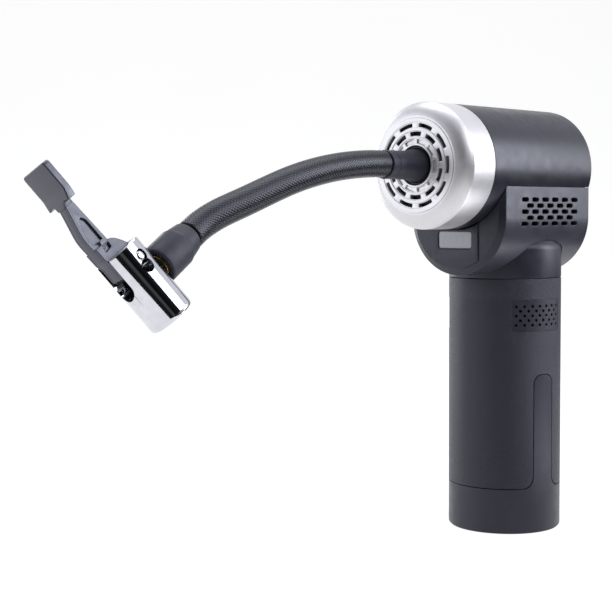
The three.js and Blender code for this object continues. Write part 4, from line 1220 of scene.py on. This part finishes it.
# Thumb paddle: a rounded block whose lower end draws in to the arm.
PADDLE = [
    (7.5, 43.5), (7.5, 55.9), (-7.5, 55.9), (-7.5, 43.5), (-6.9, 40.0), (-3.6, 41.0), (-2.4, 38.4),
    (2.4, 38.4), (3.6, 41.0), (6.9, 40.0),
]
PADDLE_RADII = [2.5, 1.5, 1.5, 2.5, 0.5, 1.6, 0.4, 0.4, 1.6, 0.5]
PADDLE_BACK = -5.15
PADDLE_NECK_Z = 44.5  # below this the block leans out towards the arm
paddle = plate(rounded(PADDLE, PADDLE_RADII, 6), (), 3.2, 0.55, 4, (), [40, 41, 42, 43, 44, 45])
for v in paddle.verts:
    a, b, d = v.co
    lean = 0.28 * max(0.0, PADDLE_NECK_Z - b) * (1 if d > -1.6 else 0.15)
    v.co = (a, PADDLE_BACK - d - lean, b)
lever_part("lever_paddle", paddle, angle=50)

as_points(hose_path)

# ---- finish of every CAD piece that stays in view
NODE_PAINT = {"grille_screen": "screen", "motor_end_cap": "nylon"}
NODE_PAINT.update({"outlet_pipe": "rubber", "chuck_plunger": "rubber"})
for node, obj in frame["nodes"].items():
    slot = NODE_SLOT[node]
    obj.data.materials.clear()
    obj.data.materials.append(PAINT[NODE_PAINT.get(node) or SLOT_PAINT.get(slot, slot)])

# ---- floor and light
scene.view_settings.view_transform = "Standard"
CENTRE = Vector((0, -0.09, 0.12))
away = Vector((forward.x, forward.y, 0)).normalized()
right = Vector((away.y, -away.x, 0))
up = Vector((0, 0, 1))


def stage_material():
    """A pale matt floor that gives off a little light of its own."""
    p = Paint("studio_floor")
    tone = p.mix(p.cloud(180, 2, 1, 0.4, 0.6), (0.2, 0.2, 0.202), (0.21, 0.21, 0.212))
    glow = {"Emission_Color": (1, 1, 1), "Emission_Strength": 0.88}
    return p.finish(tone, 0.9, p.bump(p.noise(1.2, 2), 0.02, 0.1), **glow)


def sweep_floor():
    """A pale floor that curves up into a backdrop behind the object, square to the camera and a little wider
    than what it sees."""
    bm = bmesh.new()
    to_object = 0.69  # level distance from the camera to the object
    flat_end, bend = 0.9, 0.7
    view_slope, margin, extra_left = 0.22, 0.16, 0.5
    profile = [(out, 0.0) for out in (-0.62, -0.3, 0.0, 0.45, flat_end)]
    for a in range(6, 91, 6):
        t = math.radians(a)
        profile.append((flat_end + bend * math.sin(t), bend - bend * math.cos(t)))
    profile.append((flat_end + bend, 2 * bend))
    start = Vector((CAMERA_AT[0], CAMERA_AT[1], 0))
    rows = []
    for out, high in profile:
        reach = view_slope * (to_object + max(out, -0.3)) + margin
        middle = start + away * (to_object + out) + up * high
        rows.append([bm.verts.new(middle + right * w) for w in (-reach - extra_left, reach)])
    for low, high in zip(rows, rows[1:]):
        bm.faces.new((low[0], low[1], high[1], high[0]))
    for face in bm.faces:
        face.smooth = True
    obj = add_object("studio_floor", bm)
    obj.data.materials.append(stage_material())


def lamp(name, at, aim, width, height, power):
    """A soft rectangular light at one point, turned to face another."""
    data = bpy.data.lights.new(name, "AREA")
    data.shape = "RECTANGLE"
    data.size = width
    data.size_y = height
    data.energy = power
    data.color = (0.91, 0.93, 1.0)
    obj = bpy.data.objects.new(name, data)
    obj.location = at
    obj.rotation_euler = (aim - at).to_track_quat("-Z", "Y").to_euler()
    scene.collection.objects.link(obj)


sweep_floor()
lamp("top_light", CENTRE + up * 0.8 + away * 0.2, CENTRE, 0.8, 0.5, 3.4)
lamp("right_light", CENTRE + right * 0.78 + away * 0.06 + up * 0.22, CENTRE, 0.34, 0.44, 3.2)
lever_side = CENTRE - right * 0.16 - away * 0.17
lamp("side_light", CENTRE + right * 0.25 - away * 0.2 + up * 0.26, lever_side, 0.3, 0.22, 0.8)
bounce_at = CENTRE + right * 0.22 - up * 0.108
lamp("floor_bounce", bounce_at, CENTRE + right * 0.22 + up, 0.12, 0.16, 0.2)
lamp("left_light", CENTRE - right * 0.8 + away * 0.04 + up * 0.16, CENTRE, 0.8, 0.7, 2.8)
lamp("rim_light", CENTRE - right * 0.5 + away * 0.8 + up * 0.2, CENTRE, 0.25, 0.7, 2.2)

world = bpy.data.worlds.new("studio")
world.use_nodes = True
scene.world = world
sky = world.node_tree
looking = add_node(sky, "TexCoord", {}).outputs["Generated"]


def sky_fade(direction, start, stop, start_value, stop_value):
    """Runs from one number to another with how far a sky direction points along the given one."""
    along = add_node(sky, "VectorMath", {0: looking, 1: direction.normalized()}, operation="DOT_PRODUCT")
    inputs = {"Value": along.outputs["Value"], "From Min": start, "From Max": stop}
    inputs.update({"To Min": start_value, "To Max": stop_value})
    return add_node(sky, "MapRange", inputs, interpolation_type="SMOOTHSTEP").outputs[0]


# The room: bright behind the object, dim behind the camera, darkest at its right shoulder, dark below, and a
# little brighter high on the right.
fades = [
    sky_fade(-away, 0.2, 0.85, 0.62, 0.08),
    sky_fade(right * 0.65 - away * 0.72 + up * 0.25, 0.94, 0.98, 1.0, 0.06),
    sky_fade(up, -0.12, 0.02, 0.12, 1.0),
    sky_fade(right * 0.8 + away * 0.3 + up * 0.5, 0.7, 0.92, 1.0, 1.5),
]
room = fades[0]
for fade in fades[1:]:
    room = add_node(sky, "Math", {0: room, 1: fade}, operation="MULTIPLY").outputs[0]
# What the camera sees directly is plain white.
seen = add_node(sky, "LightPath", {}).outputs["Is Camera Ray"]
strength = add_node(sky, "Math", {0: seen, 1: room}, operation="MAXIMUM")
tint = add_node(sky, "Mix", {0: seen, 6: (0.92, 0.94, 1.0), 7: (1, 1, 1)}, data_type="RGBA")
feed(sky, sky.nodes["Background"].inputs["Strength"], strength.outputs[0])
feed(sky, sky.nodes["Background"].inputs["Color"], tint.outputs[2])
